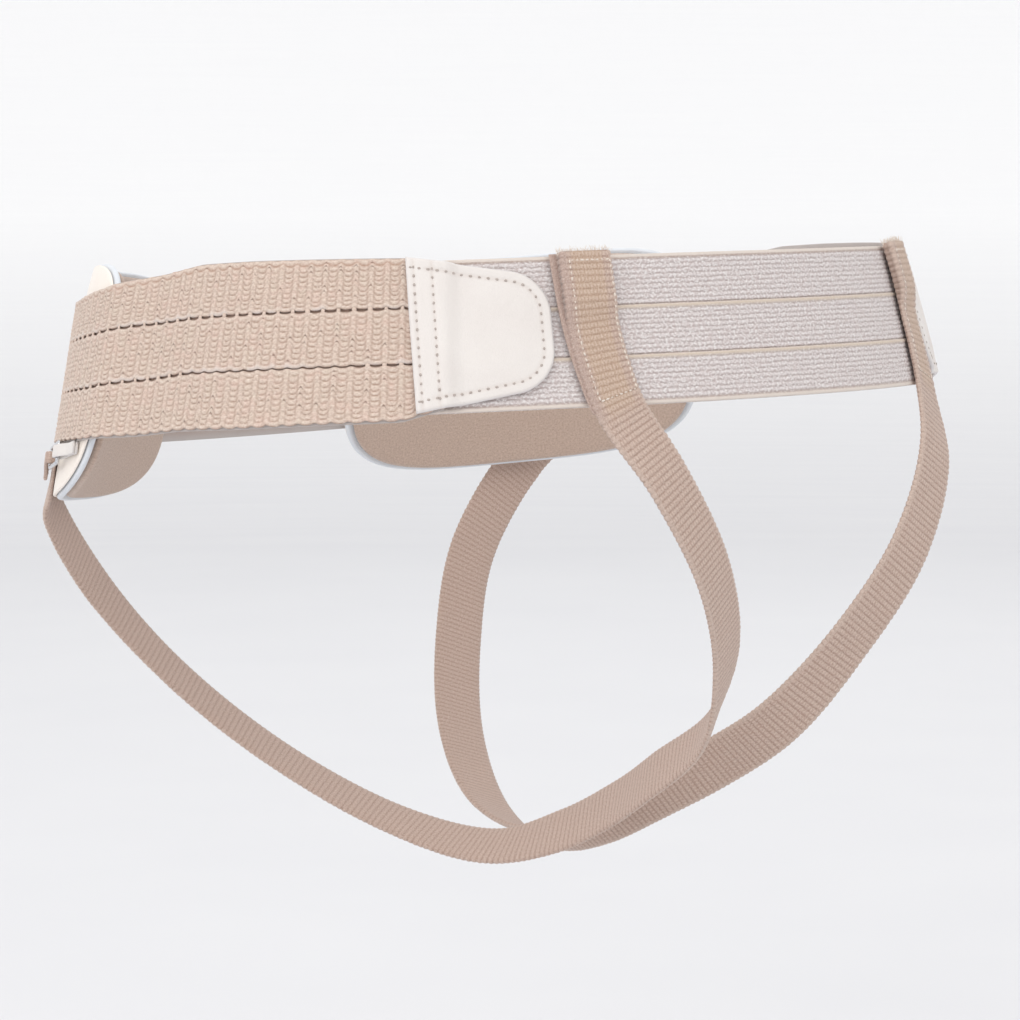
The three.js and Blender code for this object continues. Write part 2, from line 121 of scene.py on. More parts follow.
def out_of_hips(arc, height, off):
    step = on_hips(arc, height, np.asarray(off) + MM) - on_hips(arc, height, off)
    return step / np.linalg.norm(step, axis=-1, keepdims=True)


print("girth at the belt's middle line:", round(float(girth) * 1000), "mm")

# %% [markdown]
# ## Making a solid from rows of points
#
# Each strip of cloth is a closed solid: rows of points run round its section, and each row is
# joined to the next. Writing the arrays straight into the mesh is quick, and the flat pattern's
# own lengths go into its UV map, so a weave follows the cloth wherever it bends.

# %% A closed strip from its sections
def strip_object(name, points, pattern, finish, marks=None, ring=False):
    """points: rows x round x 3, pattern: rows x round x 2 (flat lengths), marks: name to rows x round."""
    rows, count = points.shape[:2]
    mesh = bpy.data.meshes.new(name)
    index = np.arange(rows * count).reshape(rows, count)
    if ring:
        index = np.vstack([index, index[:1]])
    ahead = np.roll(index, -1, axis=1)
    quads = np.stack([index[:-1], ahead[:-1], ahead[1:], index[1:]], axis=-1).reshape(-1, 4)
    ends = [] if ring else [index[0][::-1], index[-1]]
    loops = np.concatenate([quads.ravel(), *ends]).astype(np.int32)
    starts = np.arange(len(quads) + len(ends)) * 4
    starts[len(quads):] = len(quads) * 4 + count * np.arange(len(ends))
    mesh.vertices.add(rows * count)
    mesh.vertices.foreach_set("co", points.reshape(-1).astype(np.float32))
    mesh.loops.add(len(loops))
    mesh.loops.foreach_set("vertex_index", loops)
    mesh.polygons.add(len(starts))
    mesh.polygons.foreach_set("loop_start", starts.astype(np.int32))
    mesh.update(calc_edges=True)
    uv = mesh.uv_layers.new(name="pattern")
    uv.data.foreach_set("uv", pattern.reshape(-1, 2)[loops].reshape(-1).astype(np.float32))
    for mark, values in (marks or {}).items():
        layer = mesh.attributes.new(mark, "FLOAT", "POINT")
        layer.data.foreach_set("value", values.reshape(-1).astype(np.float32))
    mesh.shade_smooth()
    turn_outwards(mesh)
    mesh.materials.append(finish)
    piece = bpy.data.objects.new(name, mesh)
    bpy.context.scene.collection.objects.link(piece)
    print(f"{name}: {2 * len(quads)} triangles")
    return piece


def turn_outwards(mesh):
    mesh.calc_loop_triangles()
    count = len(mesh.loop_triangles)
    corners = np.zeros(count * 3, np.int32)
    mesh.loop_triangles.foreach_get("vertices", corners)
    places = np.zeros(len(mesh.vertices) * 3, np.float32)
    mesh.vertices.foreach_get("co", places)
    a, b, c = places.reshape(-1, 3).astype(float)[corners.reshape(-1, 3)].transpose(1, 0, 2)
    if np.einsum("ij,ij->", a, np.cross(b, c)) < 0:
        mesh.flip_normals()


def mirrored(piece, name):
    mesh = piece.data.copy()
    mesh.name = name
    places = np.zeros(len(mesh.vertices) * 3, np.float32)
    mesh.vertices.foreach_get("co", places)
    places[0::3] *= -1
    mesh.vertices.foreach_set("co", places)
    mesh.flip_normals()
    other = bpy.data.objects.new(name, mesh)
    bpy.context.scene.collection.objects.link(other)
    return other


def ripple(rows, columns, seed):
    """Random numbers from -1 to 1, one for each crossing of a coarse net."""
    return np.random.default_rng(seed).uniform(-1, 1, (rows, columns))


def net_value(net, row, column):
    """Values of a coarse net at fractional rows and columns, blended smoothly."""
    rows, columns = net.shape
    row = np.clip(row, 0, rows - 1.001)
    column = np.mod(column, columns - 1)
    low_row, low_column = np.floor(row).astype(int), np.floor(column).astype(int)
    part_row, part_column = row - low_row, column - low_column
    part_row = part_row**2 * (3 - 2 * part_row)
    part_column = part_column**2 * (3 - 2 * part_column)
    near = net[low_row, low_column] * (1 - part_column) + net[low_row, low_column + 1] * part_column
    far = net[low_row + 1, low_column] * (1 - part_column) + net[low_row + 1, low_column + 1] * part_column
    return near * (1 - part_row) + far * part_row


def soft_step(value, start, end):
    part = np.clip((value - start) / (end - start), 0, 1)
    return part * part * (3 - 2 * part)


def near_line(height, line, width):
    return np.exp(-(((height - line) / width) ** 2))


# %% [markdown]
# ## Surfaces
#
# Every surface is made of nodes: a base colour that varies, a roughness that varies, and a fine
# bump. The strips carry marks such as `crest`, the top of a yarn, and `line`, a dark groove, and
# the surfaces read these marks, so colour and relief agree. The yarn and rib colours are painted
# darker down between rows, in the knit's upright grooves and in its small holes, and lighter on
# the tops: painted shade and painted highlight. Patterns are scaled in millimetres from the flat
# pattern in the UV map.

# %% Small makers for shader nodes
def paint(red, green, blue):
    """A colour given as it looks on a screen, 0 to 255, turned into light."""
    light = [((c / 255 + 0.055) / 1.055) ** 2.4 if c > 10 else c / 255 / 12.92 for c in (red, green, blue)]
    return (*light, 1)


def add_node(tree, kind, inputs=None, **settings):
    node = tree.nodes.new(kind)
    for key, value in settings.items():
        setattr(node, key, value)
    for key, value in (inputs or {}).items():
        if isinstance(value, bpy.types.NodeSocket):
            tree.links.new(value, node.inputs[key])
        else:
            node.inputs[key].default_value = value
    return node


def calc(tree, operation, first, second=0.0, third=0.0):
    node = add_node(tree, "ShaderNodeMath", {0: first, 1: second, 2: third}, operation=operation)
    return node.outputs[0]


def mixed(tree, factor, first, second, blend="MIX"):
    inputs = {0: factor, 6: first, 7: second}
    return add_node(tree, "ShaderNodeMix", inputs, data_type="RGBA", blend_type=blend).outputs[2]


def mark(tree, name):
    return add_node(tree, "ShaderNodeAttribute", attribute_name=name).outputs["Fac"]


def ranged(tree, value, low, high, to_low=0.0, to_high=1.0):
    inputs = {"Value": value, "From Min": low, "From Max": high, "To Min": to_low, "To Max": to_high}
    return add_node(tree, "ShaderNodeMapRange", inputs, clamp=True).outputs[0]


def in_millimetres(tree, along=1.0, across=1.0, source="pattern"):
    """Coordinates whose unit is a millimetre, along and across the flat pattern or in space."""
    if source == "pattern":
        place = add_node(tree, "ShaderNodeUVMap", uv_map="pattern").outputs[0]
    else:
        place = add_node(tree, "ShaderNodeTexCoord").outputs["Object"]
    inputs = {"Vector": place, "Scale": (1000 * along, 1000 * across, 1000)}
    return add_node(tree, "ShaderNodeMapping", inputs).outputs[0]


def noise(tree, place, scale, detail=2.0, roughness=0.5):
    inputs = {"Vector": place, "Scale": scale, "Detail": detail, "Roughness": roughness}
    return add_node(tree, "ShaderNodeTexNoise", inputs).outputs["Fac"]


def surface(name, colour_of, height_of, bump_mm, rough, sheen=0.0, **constants):
    """A finish from three recipes: its colour, its fine height, and its roughness between two ends."""
    material = bpy.data.materials.new(name)
    material.use_nodes = True
    tree = material.node_tree
    shader = tree.nodes["Principled BSDF"]
    tree.links.new(colour_of(tree), shader.inputs["Base Color"])
    height = height_of(tree)
    inputs = {"Height": height, "Strength": 1.0, "Distance": bump_mm * MM}
    tree.links.new(add_node(tree, "ShaderNodeBump", inputs).outputs[0], shader.inputs["Normal"])
    tree.links.new(ranged(tree, height, 0.2, 0.8, *rough), shader.inputs["Roughness"])
    shader.inputs["Sheen Weight"].default_value = sheen
    shader.inputs["Sheen Roughness"].default_value = 0.5
    for key, value in constants.items():
        shader.inputs[key.replace("_", " ")].default_value = value
    return material


# %% Yarn and elastic
def knit_colour(tree):
    crest, pit, tone = mark(tree, "crest"), mark(tree, "pit"), mark(tree, "tone")
    streak = noise(tree, in_millimetres(tree, 1.2, 4), 1.0, 3, 0.6)
    patch = noise(tree, in_millimetres(tree), 0.16, 2)
    # painted shade and highlight: the yarn is darker low between rows and lighter on its top
    body = mixed(tree, ranged(tree, crest, 0.1, 0.8), paint(174, 145, 127), paint(224, 205, 190))
    body = mixed(tree, ranged(tree, tone, 0.0, 0.9, 0, 0.45), body, paint(224, 192, 178))
    body = mixed(tree, ranged(tree, patch, 0.52, 0.7, 0, 0.35), body, paint(220, 206, 188))
    # painted shade in the upright grooves between the columns
    body = mixed(tree, mark(tree, "flank"), body, paint(182, 153, 136))
    body = mixed(tree, ranged(tree, streak, 0.45, 0.68, 0, 0.45), body, paint(188, 160, 143))
    body = mixed(tree, ranged(tree, streak, 0.3, 0.42, 0.35, 0), body, paint(238, 224, 212))
    fleck = noise(tree, in_millimetres(tree, 1.0, 1.4), 1.15, 2, 0.6)
    body = mixed(tree, ranged(tree, fleck, 0.54, 0.7, 0, 0.6), body, paint(240, 225, 213))
    body = mixed(tree, ranged(tree, fleck, 0.32, 0.46, 0.55, 0), body, paint(186, 158, 142))
    body = mixed(tree, mark(tree, "grey"), body, paint(226, 219, 214))
    body = mixed(tree, mark(tree, "line"), body, paint(190, 154, 134))
    # painted shade in the small holes between loops
    return mixed(tree, pit, body, paint(126, 97, 83))


def knit_height(tree):
    twist = noise(tree, in_millimetres(tree, 1.6, 5), 1.0, 3, 0.6)
    return mixed(tree, 0.35, twist, noise(tree, in_millimetres(tree), 5.0, 2))


def backing_colour(tree):
    edge = ranged(tree, mark(tree, "edge"), 0.2, 0.9)
    # painted shade: the face seen through the slots is coloured dark brown for the shade in the gaps
    floor = mixed(tree, noise(tree, in_millimetres(tree), 1.5), paint(150, 124, 110), paint(176, 151, 137))
    return mixed(tree, edge, floor, paint(186, 178, 174))


def webbing_colour(tree):
    crest, tone = mark(tree, "crest"), mark(tree, "tone")
    glint = noise(tree, in_millimetres(tree, 1.0, 1.5), 1.0, 2, 0.6)
    # painted shade and highlight: darker low between the loop rows, lighter on the loops' tops
    body = mixed(tree, ranged(tree, crest, 0.1, 0.75), paint(178, 165, 162), paint(222, 214, 212))
    body = mixed(tree, ranged(tree, tone, -0.2, 0.9, 0, 0.6), body, paint(204, 190, 187))
    body = mixed(tree, ranged(tree, glint, 0.52, 0.66, 0, 0.85), body, paint(238, 234, 232))
    body = mixed(tree, ranged(tree, glint, 0.34, 0.47, 0.6, 0), body, paint(178, 160, 156))
    body = mixed(tree, mark(tree, "edging"), body, paint(222, 210, 200))
    body = mixed(tree, mark(tree, "welt"), body, paint(216, 199, 180))
    return mixed(tree, mark(tree, "line"), body, paint(168, 142, 124))


def webbing_height(tree):
    threads = noise(tree, in_millimetres(tree, 1.4, 2.4), 1.0, 3, 0.65)
    return mixed(tree, 0.5, threads, noise(tree, in_millimetres(tree), 4.5, 2))


def strap_colour(tree):
    crest, dot, tone = mark(tree, "crest"), mark(tree, "dot"), mark(tree, "tone")
    fuzz = noise(tree, in_millimetres(tree), 1.7, 3, 0.7)
    # painted shade and highlight: darker in the grooves between ribs, lighter on the ribs
    body = mixed(tree, ranged(tree, crest, 0.1, 0.7), paint(160, 135, 121), paint(190, 166, 153))
    body = mixed(tree, ranged(tree, tone, -0.6, 0.9, 0, 0.5), body, paint(178, 150, 136))
    body = mixed(tree, calc(tree, "MULTIPLY", mark(tree, "gold"), 0.35), body, paint(190, 160, 126))
    body = mixed(tree, ranged(tree, dot, 0.3, 0.9, 0, 0.55), body, paint(218, 199, 182))
    body = mixed(tree, ranged(tree, mark(tree, "edge"), 0.2, 1, 0, 0.6), body, paint(200, 180, 167))
    body = mixed(tree, mark(tree, "mauve"), body, paint(176, 152, 142))
    body = mixed(tree, ranged(tree, fuzz, 0.5, 0.7, 0, 0.6), body, paint(219, 202, 190))
    return mixed(tree, ranged(tree, fuzz, 0.3, 0.47, 0.6, 0), body, paint(148, 121, 106))


def strap_height(tree):
    threads = noise(tree, in_millimetres(tree, 2.2, 1.6), 1.0, 3, 0.6)
    return mixed(tree, 0.5, threads, noise(tree, in_millimetres(tree), 4.0, 2))


knit_surface = surface("front knit", knit_colour, knit_height, 0.35, (0.95, 0.72), 0.25)
backing_surface = surface("knit backing", backing_colour, webbing_height, 0.1, (0.95, 0.8))
webbing_surface = surface("back webbing", webbing_colour, webbing_height, 0.3, (0.85, 0.5), 0.2)
strap_surface = surface("strap webbing", strap_colour, strap_height, 0.25, (0.95, 0.7), 0.2)


# %% Leather, board, cushion, metal and thread
def leather_colour(tree):
    cloud = noise(tree, in_millimetres(tree), 0.05, 2)
    body = mixed(tree, ranged(tree, cloud, 0.3, 0.7), paint(222, 215, 210), paint(226, 220, 215))
    body = mixed(tree, ranged(tree, mark(tree, "seam"), 0.1, 1, 0, 0.4), body, paint(212, 200, 192))
    return mixed(tree, ranged(tree, mark(tree, "rim"), 0.25, 1, 0, 0.7), body, paint(214, 210, 210))


def pad_leather_colour(tree):
    cloud = noise(tree, in_millimetres(tree), 0.12, 2)
    return mixed(tree, cloud, paint(242, 232, 222), paint(249, 240, 230))


def leather_height(tree):
    inputs = {"Vector": in_millimetres(tree), "Scale": 1.6}
    cells = add_node(tree, "ShaderNodeTexVoronoi", inputs, feature="DISTANCE_TO_EDGE")
    pores = ranged(tree, cells.outputs["Distance"], 0.0, 0.25)
    return mixed(tree, 0.45, pores, noise(tree, in_millimetres(tree), 0.8, 3, 0.6))


def board_colour(tree):
    place = in_millimetres(tree, 0.05, 0.05)
    return mixed(tree, noise(tree, place, 3.0, 3), paint(206, 211, 217), paint(230, 233, 237))


def cushion_colour(tree):
    fluff = noise(tree, in_millimetres(tree), 1.4, 4, 0.7)
    return mixed(tree, ranged(tree, fluff, 0.3, 0.7), paint(176, 150, 134), paint(212, 190, 174))


def cushion_height(tree):
    return noise(tree, in_millimetres(tree), 1.8, 4, 0.75)


def metal_colour(tree):
    worn = noise(tree, in_millimetres(tree, source="space"), 0.6, 3)
    return mixed(tree, worn, paint(190, 192, 196), paint(226, 228, 230))


def metal_height(tree):
    return noise(tree, in_millimetres(tree, source="space"), 1.2, 4)


def thread_surface(name, dark, light):
    def colour(tree):
        twist = noise(tree, in_millimetres(tree, source="space"), 1.3, 3)
        return mixed(tree, twist, paint(*dark), paint(*light))

    def height(tree):
        return noise(tree, in_millimetres(tree, source="space"), 4.0, 2)

    return surface(name, colour, height, 0.15, (0.85, 0.55), 0.15)


leather_surface, pad_leather = (
    surface(name, colour, leather_height, 0.06, (0.52, 0.38), 0.0, Coat_Weight=0.12)
    for name, colour in (("cream leather", leather_colour), ("pad leather", pad_leather_colour)))
board_surface = surface("white board", board_colour, cushion_height, 0.05, (0.6, 0.45))
cushion_surface = surface("tan cushion", cushion_colour, cushion_height, 0.5, (1.0, 0.85), 0.4)
metal_surface = surface("nickel", metal_colour, metal_height, 0.02, (0.16, 0.3), 0.0, Metallic=1.0)
taupe_thread = thread_surface("taupe thread", (160, 147, 139), (194, 183, 175))
pale_thread = thread_surface("pale thread", (216, 202, 188), (236, 226, 216))
yarn_thread = thread_surface("knit yarn", (200, 176, 160), (226, 207, 193))

# %% [markdown]
# ## The knitted front band
#
# The front band is a coarse knit: each row of yarn runs along the band in a wave, down into a
# round U and up into a narrow peak every five millimetres, and the rows nest in each other.
# The steep flanks line up, so the band shows upright ribs too. Two rows of slots part it into
# three lanes. The waves are real relief here, four points to a row across the band.

# %% Sizes of the front band
seat = 0.3 * MM
back_band_width = 50 * MM
back_band_thick = 1.8 * MM
welt_height = 0.4 * MM
front_band_width = 54 * MM
front_band_thick = 2.2 * MM
front_band_start = 134.5 * MM
pad_rear = 264.5 * MM
pad_width = 136 * MM
pad_ramp = 28 * MM
cushion_thick = 3.8 * MM
board_thick = 2.1 * MM
cover_thick = 1.3 * MM
on_back_band = back_band_thick + seat + welt_height
board_off = cushion_thick + seat
cover_off = board_off + board_thick + seat
cover_top = cover_off + cover_thick
over_pad = cover_top + seat


# past the pads' rear edge as a share of their width; then foot, lower line, upper line and top
front_heights = np.array([
    (-0.956, -0.44, -0.165, 0.165, 0.44),
    (-0.864, -0.505, -0.169, 0.17, 0.472),
    (-0.474, -0.502, -0.157, 0.187, 0.508),
    (-0.312, -0.491, -0.149, 0.191, 0.516),
    (-0.129, -0.508, -0.174, 0.172, 0.464),
    (0.018, -0.519, -0.202, 0.138, 0.42),
    (0.232, -0.519, -0.207, 0.12, 0.38),
])
FOOT, LOWER, UPPER, TOP = 1, 2, 3, 4


def front_height(arc, edge):
    past = (np.minimum(arc, girth - arc) - pad_rear) / pad_width
    return front_band_width * np.interp(past, front_heights[:, 0], front_heights[:, edge])


def front_band_off(arc):
    side = np.minimum(arc, girth - arc)
    climb = np.clip((side - pad_rear + pad_ramp) / (pad_ramp - seat), 0, 1)
    climb = climb**2 * (3 - 2 * climb)
    return on_back_band + (over_pad - on_back_band) * climb


# %% Rows of waving yarn
wave_length = 5.15 * MM
wave_height = 1.0 * MM
slot_height = 0.75 * MM
knit_rows = 10
steps_per_row = 4
knit_backing = 0.8 * MM
knit_relief = 0.72 * MM
steps_per_wave = 10
front_length = girth - 2 * front_band_start
knit_waves = round(front_length / wave_length)
tight_from = 158 * MM
tight_to = 222 * MM


slot_net = ripple(2, knit_waves * 2 + 2, 71)


def slot_half(arc, edge):
    """Half the slot's height; the lower slot is drawn tight over a stretch behind each hip."""
    side = np.minimum(arc, girth - arc)
    tight = np.clip((side - tight_from) / (8 * MM), 0, 1) * np.clip((tight_to - side) / (8 * MM), 0, 1)
    spot = (arc - front_band_start) / front_length * knit_waves * 2
    uneven = 1 + 0.3 * net_value(slot_net, 0 * spot + (edge == UPPER), spot)
    return slot_height / 2 * uneven * (1 - 0.4 * tight * (edge == LOWER))


def knit_lane(name, edges, wave_at_edges, seed):
    """One lane between two lines; wave_at_edges says how much the yarn still waves at each."""
    arcs = np.linspace(front_band_start, girth - front_band_start, knit_waves * steps_per_wave + 1)
    turn = (arcs - girth / 2) / front_length * knit_waves * 2 * math.pi
    row = np.linspace(0, knit_rows, steps_per_row * knit_rows + 1)[None, :]
    low = front_height(arcs, edges[0]) + (edges[0] != FOOT) * slot_half(arcs, edges[0])
    high = front_height(arcs, edges[1]) - (edges[1] != TOP) * slot_half(arcs, edges[1])
    row_net, lift_net, tone_net, pit_net, swing_net, sway_net = (
        ripple(knit_rows + 2, knit_waves * 2 + 2, seed + i) for i in range(6))
    spot = (turn / math.pi + knit_waves)[:, None] + 0 * row
    rows = row + 0 * spot
    near_edge = np.minimum(np.clip(row / 1.5, 0, 1), np.clip((knit_rows - row) / 1.5, 0, 1))
    swing = np.minimum(
        np.clip(row / 2.2, 0, 1) * (1 - wave_at_edges[0]) + wave_at_edges[0],
        np.clip((knit_rows - row) / 2.2, 0, 1) * (1 - wave_at_edges[1]) + wave_at_edges[1])
    swing = swing * (1 + 0.25 * near_edge * net_value(swing_net, rows, spot))
    turned = turn[:, None] + 0.25 * near_edge * net_value(sway_net, rows, spot)
    shape = -np.cos(turned) + 0.26 * np.cos(2 * turned)
    height = low[:, None] + (high - low)[:, None] * row / knit_rows + wave_height * swing * shape
    height = height + 0.2 * MM * near_edge * net_value(row_net, rows, spot)
    crest = np.abs(np.sin(math.pi * row)) + 0 * spot
    lobe = 0.5 + 0.5 * np.cos(turned)
    side_turn = np.abs(np.mod(turned + math.pi, 2 * math.pi) - math.pi) / math.pi
    flank = np.exp(-(((side_turn - 0.55) / 0.12) ** 2)) * np.clip(swing * 1.3, 0, 1)
    dark = np.clip(3 * net_value(pit_net, rows, spot) - 0.9, 0, 1)
    pit = np.exp(-((crest / 0.4) ** 2)) * np.clip(1 - lobe * 7, 0, 1) * dark * np.clip(swing * 2, 0, 1)
    crest = 1 - (1 - crest) * (0.35 + 0.65 * lobe)
    crest = crest + (0.5 - crest) * 0.7 * flank
    lift = knit_relief * (0.35 + 0.65 * crest) * (0.85 + 0.15 * lobe) * (1 - 0.35 * flank)
    lift = lift + 0.16 * MM * net_value(lift_net, rows, spot) - 0.15 * MM * pit
    top_line = near_line(knit_rows - row, 1.0, 0.22) * (edges[1] == TOP) + 0 * spot
    by_slot = np.clip(1 - row / 0.9, 0, 1) * (edges[0] != FOOT) + 0 * spot
    base = front_band_off(arcs)[:, None] + knit_backing + 2 * seat
    outer = on_hips(arcs[:, None], height, base + lift)
    inner_heights = height[:, [-1, steps_per_row * knit_rows // 2, 0]]
    inner = on_hips(arcs[:, None], inner_heights, base - seat + 0 * inner_heights)
    points = np.concatenate([outer, inner], axis=1)
    flat = np.stack([arcs[:, None] + 0 * height, height], axis=-1)
    flat_inner = np.stack([arcs[:, None] + 0 * inner_heights, inner_heights], axis=-1)
    pattern = np.concatenate([flat, flat_inner], axis=1)
    none = np.zeros_like(inner_heights)
    grey = 0.7 * by_slot * np.clip(0.4 + net_value(tone_net, rows, spot), 0, 1)
    marks = {
        # crest: painted shade low between rows and painted highlight on the tops, strongest at the U's
        "crest": np.concatenate([crest * (0.8 + 0.2 * lobe), none], axis=1),
        # flank: painted shade in the upright grooves between columns
        "flank": np.concatenate([0.6 * flank, none], axis=1),
        # pit: painted shade in the small holes between loops
        "pit": np.concatenate([pit, none], axis=1),
        "line": np.concatenate([0.6 * top_line, none], axis=1),
        "grey": np.concatenate([grey, none], axis=1),
        "tone": np.concatenate([net_value(tone_net, rows, spot), none], axis=1),
    }
    return strip_object(name, points, pattern, knit_surface, marks)


knit_lanes = [
    knit_lane("front_knit_low", (FOOT, LOWER), (0.3, 0.2), 11),
    knit_lane("front_knit_middle", (LOWER, UPPER), (0.25, 0.2), 21),
    knit_lane("front_knit_high", (UPPER, TOP), (0.25, 0.04), 31),
]

# %% [markdown]
# ## The backing behind the knit
#
# Behind the loops lies a thin elastic. It shows as a fine grey line along both edges, and its face
# is painted brown: painted shade that makes each slot read as a deep gap. It's a plain ribbon with
# rounded edges.

# %% The backing ribbon
edge_line = 0.35 * MM


def backing_ribbon(name):
    arcs = np.arange(front_band_start, girth - front_band_start, 2 * MM)[:, None]
    foot = front_height(arcs, FOOT) - edge_line
    top = front_height(arcs, TOP) + edge_line
    bend = np.linspace(0.3, math.pi - 0.3, 5)[None, :]
    half = knit_backing / 2
    across = np.linspace(1, 0, 8)[None, :]
    height = np.concatenate([
        foot + (top - foot) * across[:, ::-1], top + 0.15 * MM * np.sin(bend), foot + (top - foot) * across,
        foot - 0.15 * MM * np.sin(bend)], axis=1)
    none = 0 * arcs
    lift = np.concatenate([
        none + 0 * across, none + half - half * np.cos(bend), none + 2 * half + 0 * across,
        none + half + half * np.cos(bend)], axis=1)
    reach = np.maximum(height - front_height(arcs, TOP), front_height(arcs, FOOT) - height)
    edge = np.clip(1 + reach / edge_line, 0, 1)
    points = on_hips(arcs, height, front_band_off(arcs) + lift)
    pattern = np.stack([arcs + 0 * height, height], axis=-1)
    return strip_object(name, points, pattern, backing_surface, {"edge": edge})


knit_backing_piece = backing_ribbon("front_knit_backing")

# %% [markdown]
# ## The back band
#
# The back band is a finer elastic: close rows of small glossy loops, pale grey with a mauve
# cast. A dark line over a tan welt parts its lanes, and a brown line runs under each edge.
# Each lane is a strip of low relief, whose loops come from two waves and a little chance.

# %% Rows of small loops
band_overlap = 80 * MM
back_reach = front_band_start + band_overlap
loop_rows = 10
loop_length = 1.75 * MM
steps_per_loop = 3
loop_relief = 0.4 * MM
welt_rise = 0.35 * MM


def webbing_lane(name, low, high, seed):
    loops = round(2 * back_reach / loop_length)
    arcs = np.linspace(-back_reach, back_reach, loops * steps_per_loop + 1)[:, None]
    row = np.linspace(0, loop_rows, steps_per_row * loop_rows + 1)[None, :]
    turn = 2 * math.pi * loops * (arcs + back_reach) / (2 * back_reach) + 0 * row
    wave = np.cos(turn + math.pi * np.floor(row + 0.01))
    spot = turn / math.pi
    lift_net = ripple(loop_rows + 2, 2 * loops + 2, seed)
    tone_net = ripple(loop_rows + 2, 2 * loops + 2, seed + 1)
    side_net = ripple(loop_rows + 2, 2 * loops + 2, seed + 2)
    crest = np.abs(np.sin(math.pi * row)) + 0 * arcs
    near_edge = np.clip(np.minimum(row, loop_rows - row) / 1.2, 0, 1)
    aside = 0.24 * MM * near_edge * net_value(side_net, row + 0 * spot, spot)
    height = low + (high - low) * row / loop_rows + aside
    welt = near_line(height, high - 0.9 * MM, 0.6 * MM)
    line = 0.8 * near_line(height, high, 0.26 * MM)
    edging = 0 * height
    if high > back_band_width / 3:
        welt = 0 * height
        line = 0.75 * near_line(height, high - 1.3 * MM, 0.26 * MM)
        edging = soft_step(height, high - 1.2 * MM, high - 0.9 * MM)
    if low < -back_band_width / 3:
        line = np.maximum(line, 0.6 * near_line(height, low + 1.3 * MM, 0.26 * MM))
        edging = 1 - soft_step(height, low + 0.9 * MM, low + 1.2 * MM)
    lift = loop_relief * (0.2 + 0.8 * crest) * (0.8 + 0.2 * wave)
    lift = lift + 0.2 * MM * net_value(lift_net, row + 0 * spot, spot)
    lift = lift * (1 - 0.5 * edging) + welt_rise * welt - 0.15 * MM * line
    base = back_band_thick - loop_relief
    outer = on_hips(arcs, height, base + lift)
    inner_heights = np.stack([height[:, -1], height[:, 0]], axis=1)
    inner = on_hips(arcs, inner_heights, 0 * inner_heights)
    pattern = np.concatenate([
        np.stack([arcs + 0 * height, height], axis=-1),
        np.stack([arcs + 0 * inner_heights, inner_heights], axis=-1)], axis=1)
    tone = net_value(tone_net, row + 0 * spot, spot)
    none = np.zeros_like(inner_heights)
    marks = {
        # crest: painted shade between loop rows and painted highlight on the loops
        "crest": np.concatenate([crest * (0.8 + 0.2 * wave), none + 0.5], axis=1),
        "tone": np.concatenate([tone, none], axis=1),
        "welt": np.concatenate([np.clip(welt, 0, 1), none], axis=1),
        "line": np.concatenate([line, none], axis=1),
        "edging": np.concatenate([edging, none], axis=1),
    }
    return strip_object(name, np.concatenate([outer, inner], axis=1), pattern, webbing_surface, marks)


third = back_band_width / 3
half_back = back_band_width / 2
back_lanes = [
    webbing_lane("back_webbing_low", -half_back, -half_back + third, 41),
    webbing_lane("back_webbing_middle", -half_back + third, half_back - third, 51),
    webbing_lane("back_webbing_high", half_back - third, half_back, 61),
]

# %% [markdown]
# ## The leg straps' way
#
# Each strap is sewn over the top of the back band, runs down the seat, through the crotch and
# up the groin to a ring on the pad. Its way is a smooth curve through a few places, with a
# look that says where its outer face turns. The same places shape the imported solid.

# %% Places and smooth curves between them
ring_arc = pad_rear + 29 * MM
ring_width = 5.6 * MM
ring_wire = 1.4 * MM
ring_length = 17 * MM
ring_corner = 1.2 * MM
ring_tilt = math.radians(5)
wire_radius = ring_wire / 2
loop_width = ring_width + ring_wire - 2 * ring_corner - seat
rib_pitch = 2.1 * MM
ring_height = front_height(ring_arc, FOOT) - 0.6 * MM - ring_wire - ring_width / 2
strap_width = 19 * MM
strap_thick = 2.2 * MM
strap_end_thick = 1 * MM
strap_arc_top = 86.8 * MM
strap_arc_foot = 80.5 * MM
strap_arc_power = 2.4
strap_fold = 16 * MM
strap_return = 12 * MM
crotch_depth = 180 * MM
ring_off = over_pad + strap_end_thick + seat + wire_radius
steps_per_place = 24
bend_points = 19

# across, back, down: shares of the hips' half width, half depth and the drop to the crotch
strap_way = [
    (0.465, 1.064, 0.222, 3, 3),
    (0.341, 1.09, 0.397, -8, -5),
    (0.213, 1.005, 0.571, -18, -14),
    (0.13, 0.85, 0.72, -44, -20),
    (0.1, 0.63, 0.821, -70, -28),
    (0.062, 0.447, 0.892, -78, -32),
    (0.058, 0.25, 0.957, -88, -40),
    (0.086, 0.016, 1, -115, -60),
    (0.16, -0.258, 0.961, -165, -60),
    (0.302, -0.531, 0.844, -192, -42),
    (0.475, -0.74, 0.678, -203, -20),
    (0.642, -0.862, 0.489, -207, -4),
]
# ahead, below, gather, lift: on the pad, from the ring's front bar
strap_on_pad = [(1.47, 0.97, 0.05, 0.5), (1, 0.52, 0.3, 0.15), (0.5, 0.2, 0.65, 0)]


def unit(vector):
    return vector / np.linalg.norm(vector, axis=-1, keepdims=True)


